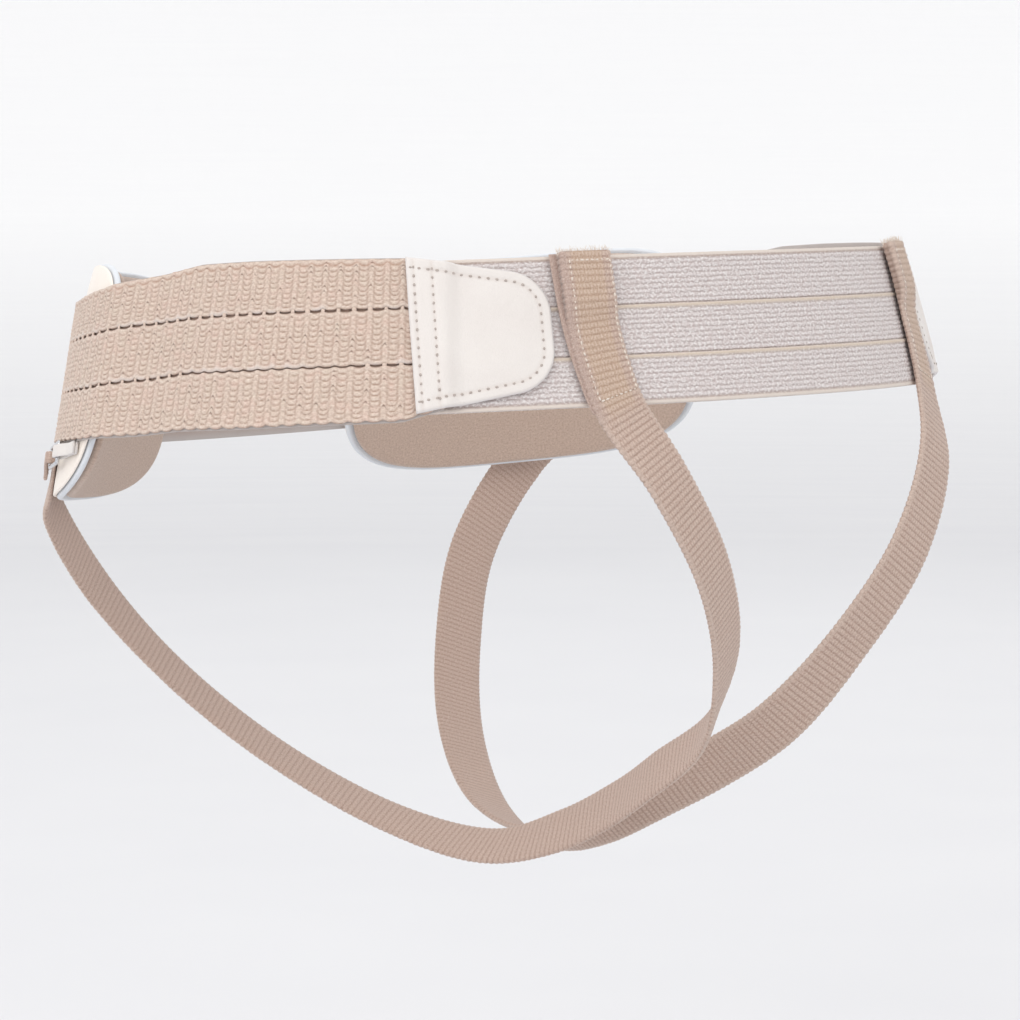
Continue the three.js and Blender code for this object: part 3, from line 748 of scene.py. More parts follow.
def smooth_curve(points, shares):
    """Centripetal curve through the points, at shares from 0 to 1 of their count."""
    points = np.asarray(points, float)
    last = len(points) - 1
    spot = np.clip(np.asarray(shares) * last, 0, last)
    low = np.minimum(np.floor(spot).astype(int), last - 1)
    part = (spot - low)[:, None]
    padded = np.vstack([2 * points[0] - points[1], points, 2 * points[-1] - points[-2]])
    a, b, c, d = (padded[low + i] for i in range(4))
    gap_a, gap_b, gap_c = (
        np.maximum(np.linalg.norm(q - p, axis=1), 1e-9)[:, None] ** 0.5 for p, q in ((a, b), (b, c), (c, d)))
    slope_b = ((b - a) / gap_a - (c - a) / (gap_a + gap_b) + (c - b) / gap_b) * gap_b
    slope_c = ((c - b) / gap_b - (d - b) / (gap_b + gap_c) + (d - c) / gap_c) * gap_b
    cubic = 2 * b - 2 * c + slope_b + slope_c
    square = -3 * b + 3 * c - 2 * slope_b - slope_c
    return ((cubic * part + square) * part + slope_b) * part + b


def look_of(face, dip):
    face, dip = math.radians(face), math.radians(dip)
    return np.array([math.cos(dip) * math.sin(face), math.cos(dip) * math.cos(face), math.sin(dip)])


def ring_frame():
    centre = on_hips(ring_arc, ring_height, ring_off)
    out = out_of_hips(ring_arc, ring_height, ring_off)
    ahead, behind = (on_hips(ring_arc + step, ring_height, ring_off) for step in (MM, -MM))
    forward = unit(ahead - behind)
    pull = unit(forward * math.cos(ring_tilt) + np.cross(out, forward) * math.sin(ring_tilt))
    return centre, pull, unit(np.cross(pull, out)), out


def ring_bar(end):
    centre, pull, across, out = ring_frame()
    return centre + pull * end * (ring_length + ring_wire) / 2, -end * pull, across, out


def strap_places():
    places = []

    def on_belt(height, thick):
        share = (back_band_width / 2 - height) / back_band_width
        arc = strap_arc_top + (strap_arc_foot - strap_arc_top) * max(0, share) ** strap_arc_power
        off = on_back_band + thick / 2
        places.append((on_hips(arc, height, off), out_of_hips(arc, height, off), strap_width, thick))

    top = back_band_width / 2 + seat
    on_belt(top, 2 * strap_thick)
    on_belt(top - strap_fold, 2 * strap_thick)
    on_belt(top - strap_fold * 1.5, strap_thick)
    on_belt(-back_band_width / 4, strap_thick)
    on_belt(-back_band_width / 2 - strap_thick, strap_thick)
    for across, back, down, face, dip in strap_way:
        centre = np.array([hip_half_width * across, hip_half_depth * back, -crotch_depth * down])
        places.append((centre, look_of(face, dip), strap_width, strap_thick))
    middle, inward, across, out = ring_bar(1)
    bar_arc = ring_arc + (ring_length + ring_wire) / 2
    for ahead, below, gather, lift in strap_on_pad:
        arc = bar_arc + ring_length * ahead
        height = ring_height - ring_length * below
        width = strap_width + (loop_width - strap_width) * gather
        thick = strap_thick + (strap_end_thick - strap_thick) * gather
        off = over_pad + thick * (lift + 0.5)
        places.append((on_hips(arc, height, off), out_of_hips(arc, height, over_pad), width, thick))
    radius = wire_radius + seat + strap_end_thick / 2
    places.append((middle - out * radius - inward * radius, out, loop_width, strap_end_thick))
    return places


def even_stations(centre, out, width, thick, step):
    """Stations a fixed step apart along the way, each with its own frame."""
    length = np.concatenate([[0], np.cumsum(np.linalg.norm(np.diff(centre, axis=0), axis=1))])
    count = int(round(length[-1] / step))
    at = np.linspace(0, length[-1], count + 1)
    centre = np.stack([np.interp(at, length, centre[:, i]) for i in range(3)], axis=1)
    out = np.stack([np.interp(at, length, out[:, i]) for i in range(3)], axis=1)
    along = unit(np.gradient(centre, axis=0))
    out = unit(out - along * np.sum(out * along, axis=1, keepdims=True))
    across = unit(np.cross(along, out))
    return {"at": at, "centre": centre, "out": out, "across": across, "along": along,
            "width": np.interp(at, length, width), "thick": np.interp(at, length, thick)}


def strap_run():
    """The strap's whole way: down, through, round the ring's bar and back on itself."""
    places = strap_places()
    shares = np.linspace(0, 1, (len(places) - 1) * steps_per_place + 1)
    centre = smooth_curve([p[0] for p in places], shares)
    looks = smooth_curve([p[1] for p in places], shares)
    spot = shares * (len(places) - 1)
    width = np.interp(spot, np.arange(len(places)), [p[2] for p in places])
    thick = np.interp(spot, np.arange(len(places)), [p[3] for p in places])
    along = unit(np.gradient(centre, axis=0))
    looks = unit(looks - along * np.sum(looks * along, axis=1, keepdims=True))
    middle, inward, _, out = ring_bar(1)
    radius = wire_radius + seat + strap_end_thick / 2
    bend = np.linspace(0, math.pi, bend_points)[:, None]
    turn_centre = middle - out * radius * np.cos(bend) + inward * radius * np.sin(bend)
    turn_out = out * np.cos(bend) - inward * np.sin(bend)
    left = np.concatenate([np.cumsum(np.linalg.norm(np.diff(centre[::-1], axis=0), axis=1)), [9]])
    count = int(np.searchsorted(left, strap_return)) + 1
    back = slice(None, -count - 1, -1)
    settle = soft_step(np.arange(count) / max(1, count - 1), -0.02, 1)[:, None]
    lift = 2 * radius + (strap_thick + seat - 2 * radius) * settle
    back_centre = centre[back] + looks[back] * lift
    return even_stations(
        np.vstack([centre, turn_centre, back_centre]),
        np.vstack([looks, turn_out, -looks[back]]),
        np.concatenate([width, np.full(bend_points, loop_width), width[back]]),
        np.concatenate([thick, np.full(bend_points, strap_end_thick), thick[back]]), rib_pitch / 4)


# %% [markdown]
# ## Ribbed strap elastic
#
# The strap is ribbed across, two millimetres to a rib, and each rib shows a row of pale loops.
# Small loops stand out along both edges. Where it's sewn to the back band it's golden in the
# middle and darker at its front edge, and a second layer shows beyond that edge.

# %% One strap as a closed strip
rib_relief = 0.17 * MM
dot_pitch = 1.25 * MM
dot_relief = 0.16 * MM
across_steps = 46
sewn_length = back_band_width + 1 * MM


def strap_object(name, seed):
    run = strap_run()
    at = run["at"][:, None]
    share = np.linspace(1, -1, across_steps + 1)[None, :]
    rib = np.abs(np.sin(math.pi * at / rib_pitch))
    rib_number = np.floor(at / rib_pitch)
    half = run["width"][:, None] / 2 - 0.35 * MM * (1 - rib)
    aside = half * share
    dot = 0.5 + 0.5 * np.cos(2 * math.pi * aside / dot_pitch + math.pi * (rib_number % 2) * 0.35)
    net = ripple(int(rib_number.max()) + 3, 26, seed)
    tone = net_value(net, rib_number + 0 * share, (share + 1) * 12 + 0 * at)
    edge = soft_step(np.abs(aside), half - 1.8 * MM, half - 1.0 * MM)
    sewn = 1 - soft_step(at, sewn_length - 2 * MM, sewn_length + 6 * MM)
    gold = sewn * (1 - soft_step(np.abs(aside), half - 4.6 * MM, half - 3.2 * MM))
    mauve = sewn * soft_step(aside, half - 2.6 * MM, half - 1.8 * MM)
    falling = np.sqrt(np.clip(1 - np.abs(share) ** 14, 0, 1))
    thick = run["thick"][:, None]
    lift = (thick / 2 - rib_relief) * falling + rib_relief * rib * (0.55 + 0.45 * falling)
    lift = lift + dot_relief * rib * (dot - 0.5) * (1 - edge) + 0.07 * MM * tone
    outer = (run["centre"][:, None] + run["across"][:, None] * aside[..., None]
             + run["out"][:, None] * lift[..., None])
    doubled = soft_step(thick, strap_thick * 1.2, strap_thick * 1.8)
    under_share = np.array([-1.0, -0.985, -0.86, -0.5, 0, 0.5, 0.86, 0.985, 1.0])[None, :]
    under_half = half - 0.45 * MM * doubled * (np.abs(under_share) > 0.99)
    under_aside = under_half * under_share
    under_fall = np.array([0.0, 0.55, 0.95, 1, 1, 1, 0.95, 0.55, 0.0])[None, :]
    under_lift = -(thick / 2 - rib_relief) * under_fall - rib_relief * rib * under_fall
    under = (run["centre"][:, None] + run["across"][:, None] * under_aside[..., None]
             + run["out"][:, None] * under_lift[..., None])
    pattern = np.concatenate([
        np.stack([at + 0 * aside, aside], axis=-1),
        np.stack([at + 0 * under_aside, under_aside], axis=-1)], axis=1)
    none = np.zeros_like(under_aside)
    marks = {
        # crest: painted shade between ribs and painted highlight on them
        "crest": np.concatenate([rib + 0 * aside, rib + none], axis=1),
        "dot": np.concatenate([dot * rib * (1 - edge), none + 0.4 * rib], axis=1),
        "edge": np.concatenate([edge, none], axis=1),
        "tone": np.concatenate([tone, none], axis=1),
        "gold": np.concatenate([gold, none], axis=1),
        "mauve": np.concatenate([0.75 * mauve, none], axis=1),
    }
    return strip_object(name, np.concatenate([outer, under], axis=1), pattern, strap_surface, marks), run


left_strap, left_run = strap_object("left_strap_webbing", 71)
print("strap length:", round(float(left_run["at"][-1]) * 1000), "mm")


# %% The layer under the sewn part
def under_layer(name):
    keep = left_run["at"] < sewn_length
    at = left_run["at"][keep][:, None]
    shift = 0.5 * MM + 1.6 * MM * (1 - at / sewn_length)
    bend = np.linspace(0, 2 * math.pi, 20, endpoint=False)[None, :]
    aside = strap_width / 2 * np.sign(np.cos(bend)) * np.abs(np.cos(bend)) ** 0.25 + shift
    lift = 0.5 * MM * np.sign(np.sin(bend)) * np.abs(np.sin(bend)) ** 0.6
    lift = lift - left_run["thick"][keep][:, None] / 2 + 0.5 * MM
    points = (left_run["centre"][keep][:, None] + left_run["across"][keep][:, None] * aside[..., None]
              + left_run["out"][keep][:, None] * lift[..., None])
    rib = np.abs(np.sin(math.pi * at / rib_pitch)) + 0 * aside
    mauve = 0.6 + 0.4 * soft_step(-aside, -strap_width / 2 - shift, -strap_width / 2)
    # crest here is the same painted rib shade and highlight
    marks = {"crest": rib, "edge": 0.4 + 0 * rib, "mauve": mauve}
    return strip_object(name, points, np.stack([at + 0 * aside, aside], axis=-1), strap_surface, marks)


left_under_layer = under_layer("left_strap_under_layer")

# %% [markdown]
# ## Leather tabs
#
# A cream leather tab on each side holds the front band's end and closes on the back band. It
# narrows to a rounded end, puffs a little inside its row of stitches, and steps down where the
# front band ends. The surface is a net of points whose height comes from the distance to its
# own outline.

# %% One tab
tab_length = 45 * MM
tab_overlap = 10.2 * MM
tab_thick = 1.6 * MM
tab_step = 6 * MM
tab_tall_end = 51.5 * MM
tab_low_end = 36 * MM
tab_corner = 12 * MM
tab_slant = 4 * MM
tab_tall_arc = front_band_start + tab_overlap
stitch_inset = 3.5 * MM
tab_cross_rows = (2.2 * MM, 7.7 * MM)
outline_points = 60
tab_columns = 65


def tab_half_height(along):
    slope = (tab_tall_end - tab_low_end) / 2 / tab_length
    half = tab_low_end / 2 + slope * along
    rest = np.clip(tab_corner - along, 0, tab_corner)
    return half - tab_corner + np.sqrt(np.clip(tab_corner**2 - rest**2, 0, None))


def tab_off(arc):
    rise = soft_step(arc, front_band_start - tab_step, front_band_start - seat)
    return on_back_band + rise * (front_band_thick + seat)


def tab_place(along, height, lift):
    """Place on the tab: along from its rounded end, height, and lift over its underside."""
    arc = tab_tall_arc - tab_length + along
    slanted = arc + tab_slant * height / tab_tall_end * (along / tab_length) ** 2
    return on_hips(slanted, height, tab_off(slanted) + lift)


def tab_outline(inset, count):
    """Points of the outline, moved in by inset: along the foot, round the low end and back."""
    reach = tab_corner - inset
    slope = (tab_tall_end - tab_low_end) / 2 / tab_length
    bend = np.linspace(0, math.pi / 2, count)[1:]
    along = np.concatenate([np.linspace(tab_length, tab_corner, count), tab_corner - reach * np.sin(bend)])
    half = tab_low_end / 2 + slope * along - inset
    half[count:] += reach * (np.cos(bend) - 1)
    foot = np.stack([along, -half], axis=1)
    end = np.stack([np.full(count, inset), np.linspace(-half[-1], half[-1], count)], axis=1)
    return np.vstack([foot, end[1:-1], foot[::-1] * [1, -1]])


def tab_object(name):
    along = np.concatenate([
        tab_corner * (1 - np.cos(np.linspace(0.02, 1, 18) * math.pi / 2)),
        np.linspace(tab_corner, tab_length, outline_points)[1:]])
    along = np.unique(along)[:, None]
    across = np.sin(np.linspace(-1, 1, tab_columns) * math.pi / 2)[None, :]
    across = 0.5 * across + 0.5 * np.linspace(-1, 1, tab_columns)[None, :]
    half = tab_half_height(along)
    height = half * across
    tall = np.linspace(-1, 1, outline_points) * tab_tall_end / 2
    rim = np.vstack([tab_outline(0, outline_points), np.stack([0 * tall + tab_length, tall], axis=1)])
    spread = np.stack([along + 0 * height, height], axis=-1).reshape(-1, 1, 2) - rim[None]
    depth = np.sqrt((spread**2).sum(-1)).min(1).reshape(height.shape)
    fold = 0.35 * MM * np.exp(-(((along - tab_length + 12.5 * MM) / (1.6 * MM)) ** 2))
    seam = near_line(depth, stitch_inset, 0.7 * MM) * (along < tab_length - 1.5 * stitch_inset)
    puff = 0.4 * MM * soft_step(depth, stitch_inset, 3.2 * stitch_inset)
    rows = sum(near_line(along, tab_length - row, 0.6 * MM) for row in tab_cross_rows)
    inside = soft_step(depth, 0, 0.9 * MM)
    groove = 0.18 * MM * np.clip(seam + rows, 0, 1)
    lift = tab_thick * (0.55 + 0.45 * np.sqrt(np.clip(inside, 0, 1))) + puff - groove
    lift = lift - fold * soft_step(depth, 0, 2 * stitch_inset) * 0.6
    outer = tab_place(along, height, lift)
    under_heights = half * np.array([1, 0.995, 0.5, 0, -0.5, -0.995, -1])[None, :]
    under_lift = np.array([0.3 * tab_thick, 0, 0, 0, 0, 0, 0.3 * tab_thick])[None, :] + 0 * under_heights
    under = tab_place(along, under_heights, under_lift)
    pattern = np.concatenate([
        np.stack([along + 0 * height, height], axis=-1),
        np.stack([along + 0 * under_heights, under_heights], axis=-1)], axis=1)
    none = np.zeros_like(under_heights)
    marks = {
        "rim": np.concatenate([1 - inside, none + 1], axis=1),
        "seam": np.concatenate([np.clip(seam + rows, 0, 1), none], axis=1),
    }
    return strip_object(name, np.concatenate([outer, under], axis=1), pattern, leather_surface, marks)


left_tab = tab_object("left_tab_leather")

# %% [markdown]
# ## Pads under the front band
#
# Each pad is a tan cushion, a white board and a cream leather cover. All three share one
# outline, flat on top and round below, and each is built as rings that shrink from the rim to
# the middle, so its rim rounds over and its face wavers a little.

# %% Pad layers
pad_top = 34.5 * MM
pad_foot = 47.5 * MM
pad_top_power = 5
pad_foot_power = 3.8
pad_crown = 2 * MM
pad_rim_points = 200
pad_rings = 14
pad_middle = (pad_rear + pad_width / 2, (pad_top - pad_foot) / 2)


def pad_outline(inset, count):
    turn = np.linspace(0, 2 * math.pi, 4001)
    power = np.where(np.sin(turn) > 0, pad_top_power, pad_foot_power)
    arc = (pad_width / 2 - inset) * np.sign(np.cos(turn)) * np.abs(np.cos(turn)) ** (2 / power)
    height = ((pad_top + pad_foot) / 2 - inset) * np.sign(np.sin(turn)) * np.abs(np.sin(turn)) ** (2 / power)
    length = np.concatenate([[0], np.cumsum(np.hypot(np.diff(arc), np.diff(height)))])
    at = np.linspace(0, length[-1], count, endpoint=False)
    return np.stack([np.interp(at, length, arc), np.interp(at, length, height)], axis=1)


def pad_off(off, height):
    """Distance off the skin at a height on the pad, whose cushion thins towards its top edge."""
    share = np.clip((height - pad_middle[1]) / (pad_top - pad_middle[1]), 0, 1)
    return off - pad_crown * share**3 * np.clip(off / cushion_thick, 0, 1)


def pad_layer(name, finish, inner_off, outer_off, inset, ease, seed):
    """Rings from the middle of the outer face, over the rim, to the middle of the inner face."""
    rim = pad_outline(inset, pad_rim_points)
    reach = np.linalg.norm(rim, axis=1).min()
    face = np.linspace(0.04, 1 - ease / reach, pad_rings)
    bend = np.linspace(0, math.pi, 13)[1:-1]
    share = np.concatenate([face, 1 - ease / reach * (1 - np.sin(bend)), face[::-1]])
    half = (outer_off - inner_off) / 2
    off = np.concatenate([np.full(pad_rings, half), half * np.cos(bend), np.full(pad_rings, -half)])
    flat = rim[None] * share[:, None, None]
    arc = pad_middle[0] + flat[..., 0]
    height = pad_middle[1] + flat[..., 1]
    wander = ripple(14, 18, seed)
    waver = 0.12 * MM * net_value(wander, flat[..., 1] / (9 * MM) + 6, flat[..., 0] / (9 * MM) + 8)
    lift = (inner_off + outer_off) / 2 + off[:, None] + waver * (off > 0)[:, None]
    points = on_hips(arc, height, pad_off(lift, height))
    none = 0 * arc
    edge = np.clip((share[:, None] - 1 + 2.5 * ease / reach) / (1.5 * ease / reach), 0, 1) + none
    return strip_object(name, points, np.stack([arc, height], axis=-1), finish, {"rim": edge, "seam": none})


left_cushion = pad_layer(
    "left_cushion_cloth", cushion_surface, 0, cushion_thick - 0.2 * MM, 1.5 * MM, 1.7 * MM, 81)
left_board = pad_layer(
    "left_board_face", board_surface, board_off, board_off + board_thick, 0, 0.8 * MM, 82)
left_cover = pad_layer(
    "left_cover_leather", pad_leather, cover_off, cover_top - 0.1 * MM, 0.8 * MM, 0.6 * MM, 83)

# %% [markdown]
# ## Rings and their leather strips
#
# A small rectangular ring of bright wire lies on each pad just under the front band. A folded
# strip of leather holds its back end, and the leg strap turns round its front end.

# %% The ring
def ring_object(name):
    centre, pull, across, out = ring_frame()
    half_long = (ring_length + ring_wire) / 2
    half_wide = (ring_width + ring_wire) / 2
    rows = []
    for quarter in range(4):
        sign_long = 1 if quarter in (0, 3) else -1
        sign_wide = 1 if quarter < 2 else -1
        for turn in np.linspace(0, math.pi / 2, 9) + quarter * math.pi / 2:
            middle = centre + pull * (sign_long * (half_long - ring_corner) + ring_corner * math.cos(turn))
            middle = middle + across * (sign_wide * (half_wide - ring_corner) + ring_corner * math.sin(turn))
            away = pull * math.cos(turn) + across * math.sin(turn)
            sides = np.linspace(0, 2 * math.pi, 16, endpoint=False)[:, None]
            rows.append(middle + wire_radius * (away * np.cos(sides) + out * np.sin(sides)))
    points = np.array(rows)
    return strip_object(name, points, points[..., :2], metal_surface, ring=True)


# %% The folded strip of leather
chape_thick = 1 * MM
chape_length = 13 * MM
chape_steps = 24


def chape_object(name):
    middle, inward, _, out = ring_bar(-1)
    radius = wire_radius + seat + chape_thick / 2
    bar_arc = ring_arc - (ring_length + ring_wire) / 2
    arcs = np.linspace(bar_arc - chape_length, bar_arc - ring_wire, chape_steps)
    heights = ring_height + (ring_arc - arcs) * math.tan(ring_tilt)
    centre = on_hips(arcs, heights, over_pad + chape_thick / 2)
    looks = out_of_hips(arcs, heights, over_pad)
    bend = np.linspace(0, math.pi, bend_points)[:, None]
    turn_centre = middle - out * radius * np.cos(bend) + inward * radius * np.sin(bend)
    turn_out = out * np.cos(bend) - inward * np.sin(bend)
    settle = soft_step(np.arange(chape_steps), 0, 14)[:, None]
    lift = 2 * radius + (chape_thick + 0.4 * seat - 2 * radius) * settle
    back = slice(None, None, -1)
    count = 2 * chape_steps + bend_points
    run = even_stations(
        np.vstack([centre, turn_centre, centre[back] + looks[back] * lift]),
        np.vstack([looks, turn_out, -looks[back]]),
        np.full(count, loop_width), np.full(count, chape_thick), 0.5 * MM)
    corners = np.linspace(0, 2 * math.pi, 28, endpoint=False) + math.pi / 28
    across_share = np.sign(np.cos(corners)) * np.abs(np.cos(corners)) ** 0.35
    out_share = np.sign(np.sin(corners)) * np.abs(np.sin(corners)) ** 0.6
    aside = run["width"][:, None] / 2 * across_share
    lift = run["thick"][:, None] / 2 * out_share
    points = (run["centre"][:, None] + run["across"][:, None] * aside[..., None]
              + run["out"][:, None] * lift[..., None])
    at = run["at"][:, None] + 0 * aside
    rim = soft_step(np.abs(across_share), 0.8, 1)[None] + 0 * aside
    marks = {"rim": rim, "seam": 0 * aside}
    return strip_object(name, points, np.stack([at, aside], axis=-1), leather_surface, marks)


left_ring_wire = ring_object("left_ring_wire")
left_chape = chape_object("left_chape_leather")

# %% [markdown]
# ## Stitches and bridging yarns
#
# Stitches, the short yarns that cross the slots, and the frayed ends on the straps are the same
# thing to make: one small rounded grain at each of many points. A node group sets the grain's
# size, turns it along the row, and gives each one a little chance of its own.

# %% The node group that sets grains on points
def grain_group():
    tree = bpy.data.node_groups.new("grains on points", "GeometryNodeTree")
    tree.is_modifier = True
    sockets = {}
    for name, kind in (
        ("Geometry", "NodeSocketGeometry"), ("Grain size", "NodeSocketVector"),
        ("Turn chance", "NodeSocketFloat"), ("Size chance", "NodeSocketFloat"),
        ("Seed", "NodeSocketInt"), ("Finish", "NodeSocketMaterial"),
    ):
        sockets[name] = tree.interface.new_socket(name, in_out="INPUT", socket_type=kind).identifier
    tree.interface.new_socket("Geometry", in_out="OUTPUT", socket_type="NodeSocketGeometry")
    given = tree.nodes.new("NodeGroupInput").outputs
    inputs = {"Segments": 8, "Rings": 5, "Radius": 1.0}
    grain = add_node(tree, "GeometryNodeMeshUVSphere", inputs).outputs["Mesh"]
    inputs = {"Geometry": grain, "Scale": given["Grain size"]}
    shaped = add_node(tree, "GeometryNodeTransform", inputs).outputs[0]
    smooth = add_node(tree, "GeometryNodeSetShadeSmooth", {"Geometry": shaped}).outputs[0]
    outward, forward = (
        add_node(tree, "GeometryNodeInputNamedAttribute", {"Name": name}, data_type="FLOAT_VECTOR").outputs[0]
        for name in ("out", "along"))
    upright = add_node(tree, "FunctionNodeAlignRotationToVector", {"Vector": outward}, axis="Z").outputs[0]
    inputs = {"Rotation": upright, "Vector": forward}
    turned = add_node(tree, "FunctionNodeAlignRotationToVector", inputs, axis="X", pivot_axis="Z").outputs[0]
    back = calc(tree, "MULTIPLY", given["Turn chance"], -1.0)
    inputs = {"Min": back, "Max": given["Turn chance"], "Seed": given["Seed"]}
    chance = add_node(tree, "FunctionNodeRandomValue", inputs, data_type="FLOAT_VECTOR").outputs[0]
    loose = add_node(tree, "FunctionNodeEulerToRotation", {0: chance}).outputs[0]
    inputs = {"Rotation": turned, "Rotate By": loose}
    facing = add_node(tree, "FunctionNodeRotateRotation", inputs, rotation_space="LOCAL").outputs[0]
    least = calc(tree, "SUBTRACT", 1.0, given["Size chance"])
    inputs = {2: least, 3: 1.0, "Seed": given["Seed"]}
    size = add_node(tree, "FunctionNodeRandomValue", inputs, data_type="FLOAT").outputs[1]
    inputs = {"Points": given["Geometry"], "Instance": smooth, "Rotation": facing, "Scale": size}
    placed = add_node(tree, "GeometryNodeInstanceOnPoints", inputs).outputs[0]
    real = add_node(tree, "GeometryNodeRealizeInstances", {"Geometry": placed}).outputs[0]
    inputs = {"Geometry": real, "Material": given["Finish"]}
    done = add_node(tree, "GeometryNodeSetMaterial", inputs).outputs[0]
    tree.links.new(done, tree.nodes.new("NodeGroupOutput").inputs[0])
    return tree, sockets


grain_tree, grain_sockets = grain_group()


def grains(name, rows, size, finish, turn=0.05, chance=0.1, seed=1):
    """rows: list of (points, along, out); size: half lengths along, across and out."""
    points, along, out = (np.concatenate([row[i] for row in rows]) for i in range(3))
    seeds = bpy.data.meshes.new(name + "_points")
    seeds.from_pydata(points.tolist(), [], [])
    for key, values in (("along", along), ("out", out)):
        field = seeds.attributes.new(key, "FLOAT_VECTOR", "POINT").data
        field.foreach_set("vector", values.reshape(-1).astype(np.float32))
    piece = bpy.data.objects.new(name, seeds)
    bpy.context.scene.collection.objects.link(piece)
    modifier = piece.modifiers.new("grains", "NODES")
    modifier.node_group = grain_tree
    given = {"Grain size": size, "Turn chance": turn, "Size chance": chance, "Seed": seed, "Finish": finish}
    for key, value in given.items():
        modifier[grain_sockets[key]] = value
    seen = piece.evaluated_get(bpy.context.evaluated_depsgraph_get())
    mesh = bpy.data.meshes.new_from_object(seen)
    piece.modifiers.clear()
    piece.data = mesh
    bpy.data.meshes.remove(seeds)
    mesh.name = name
    print(f"{name}: {len(points)} grains")
    return piece


def spaced(path, out, pitch, start=0.5):
    """Points a pitch apart along a path, with the path's direction and its outward direction."""
    length = np.concatenate([[0], np.cumsum(np.linalg.norm(np.diff(path, axis=0), axis=1))])
    count = max(1, int(round(length[-1] / pitch)))
    at = (np.arange(count) + start) * length[-1] / count
    place = [np.stack([np.interp(a, length, q[:, i]) for i in range(3)], axis=1)
             for q, a in ((path, at), (path, at - 0.2 * MM), (path, at + 0.2 * MM), (out, at))]
    return place[0], unit(place[2] - place[1]), unit(place[3])


# %% Rows of stitches and the yarns across the slots
tab_pitch = 2.9 * MM
strap_pitch = 1.9 * MM


def tab_row(flat):
    lift = tab_thick - 0.05 * MM
    path = tab_place(flat[:, 0], flat[:, 1], lift)
    out = unit(tab_place(flat[:, 0], flat[:, 1], lift + MM) - path)
    return spaced(path, out, tab_pitch)


def tab_cross_row(inset):
    half = tab_half_height(tab_length - inset) - 1.8 * MM
    heights = np.linspace(-half, half, 30)
    points, along, out = tab_row(np.stack([np.full(30, tab_length - inset), heights], axis=1))
    return points + out * 0.18 * MM * (inset > 2 * stitch_inset), along, out


outline = tab_outline(stitch_inset, outline_points)
left_tab_stitches = grains(
    "left_tab_stitches", [tab_row(outline), *(tab_cross_row(row) for row in tab_cross_rows)],
    (0.6 * MM, 0.46 * MM, 0.24 * MM), taupe_thread, 0.12, 0.2, 5)


def strap_row(start, end, aside_of):
    """Stitches on the strap between two lengths along it, at a distance aside of its middle."""
    keep = (left_run["at"] >= start) & (left_run["at"] <= end)
    lift = left_run["thick"][keep] / 2 - 0.02 * MM
    centre = left_run["centre"][keep] + left_run["out"][keep] * lift[:, None]
    centre = centre + left_run["across"][keep] * aside_of
    return spaced(centre, left_run["out"][keep], strap_pitch)


def strap_cross(at):
    spot = int(np.argmin(np.abs(left_run["at"] - at)))
    aside = np.linspace(back_side, front_side, 12)[:, None]
    lift = left_run["thick"][spot] / 2
    path = left_run["centre"][spot] + left_run["across"][spot] * aside + left_run["out"][spot] * lift
    return spaced(path, np.repeat(left_run["out"][spot][None], 12, axis=0), strap_pitch)


front_side = strap_width / 2 - 3.2 * MM
back_side = 1.5 * MM - strap_width / 2
strap_foot = back_band_width - 1.5 * MM
left_strap_stitches = grains(
    "left_strap_stitches",
    [strap_row(2.5 * MM, strap_foot, front_side), strap_row(2.5 * MM, strap_foot, back_side),
     strap_cross(3 * MM), strap_cross(strap_foot)],
    (0.72 * MM, 0.36 * MM, 0.26 * MM), pale_thread, 0.3, 0.45, 6)


def fray_row():
    count = 170
    chance = np.random.default_rng(8)
    aside = np.linspace(-1, 1, count)[:, None] * (strap_width / 2 - 0.2 * MM)
    aside = aside + chance.normal(0, 0.3 * MM, (count, 1))
    start = left_run["centre"][0] + left_run["across"][0] * aside
    depth = chance.uniform(-1, 1, (count, 1)) * strap_thick * 0.9
    points = start + left_run["out"][0] * depth - left_run["along"][0] * 0.2 * MM
    across, upwards = left_run["across"][:1], -left_run["along"][:1]
    return points, np.repeat(across, count, axis=0), np.repeat(upwards, count, axis=0)


fray_size = (0.09 * MM, 0.09 * MM, 2.1 * MM)
left_strap_fray = grains("left_strap_fray", [fray_row()], fray_size, pale_thread, 0.6, 0.7, 9)


def bridge_rows():
    """One short yarn over each slot at every peak of the waves, but not where the slot is tight."""
    peaks = girth / 2 + (np.arange(knit_waves - 1) + 0.5 - knit_waves // 2) * front_length / knit_waves
    side = np.minimum(peaks, girth - peaks)
    rows = []
    for edge in (LOWER, UPPER):
        keep = (edge == UPPER) | (side < tight_from) | (side > tight_to)
        arcs = peaks[keep]
        height = front_height(arcs, edge) + 0.15 * MM
        off = front_band_off(arcs) + knit_backing + 0.85 * MM
        points = on_hips(arcs, height, off)
        rows.append((points, unit(on_hips(arcs, height + MM, off) - points), out_of_hips(arcs, height, off)))
    return rows


bridge_size = (1.15 * MM, 0.95 * MM, 0.4 * MM)
front_bridges = grains("front_bridging_yarns", bridge_rows(), bridge_size, yarn_thread, 0.2, 0.35, 10)

# %% [markdown]
# ## The right side
#
# The belt is the same on both sides, so each left piece is copied across the middle plane.

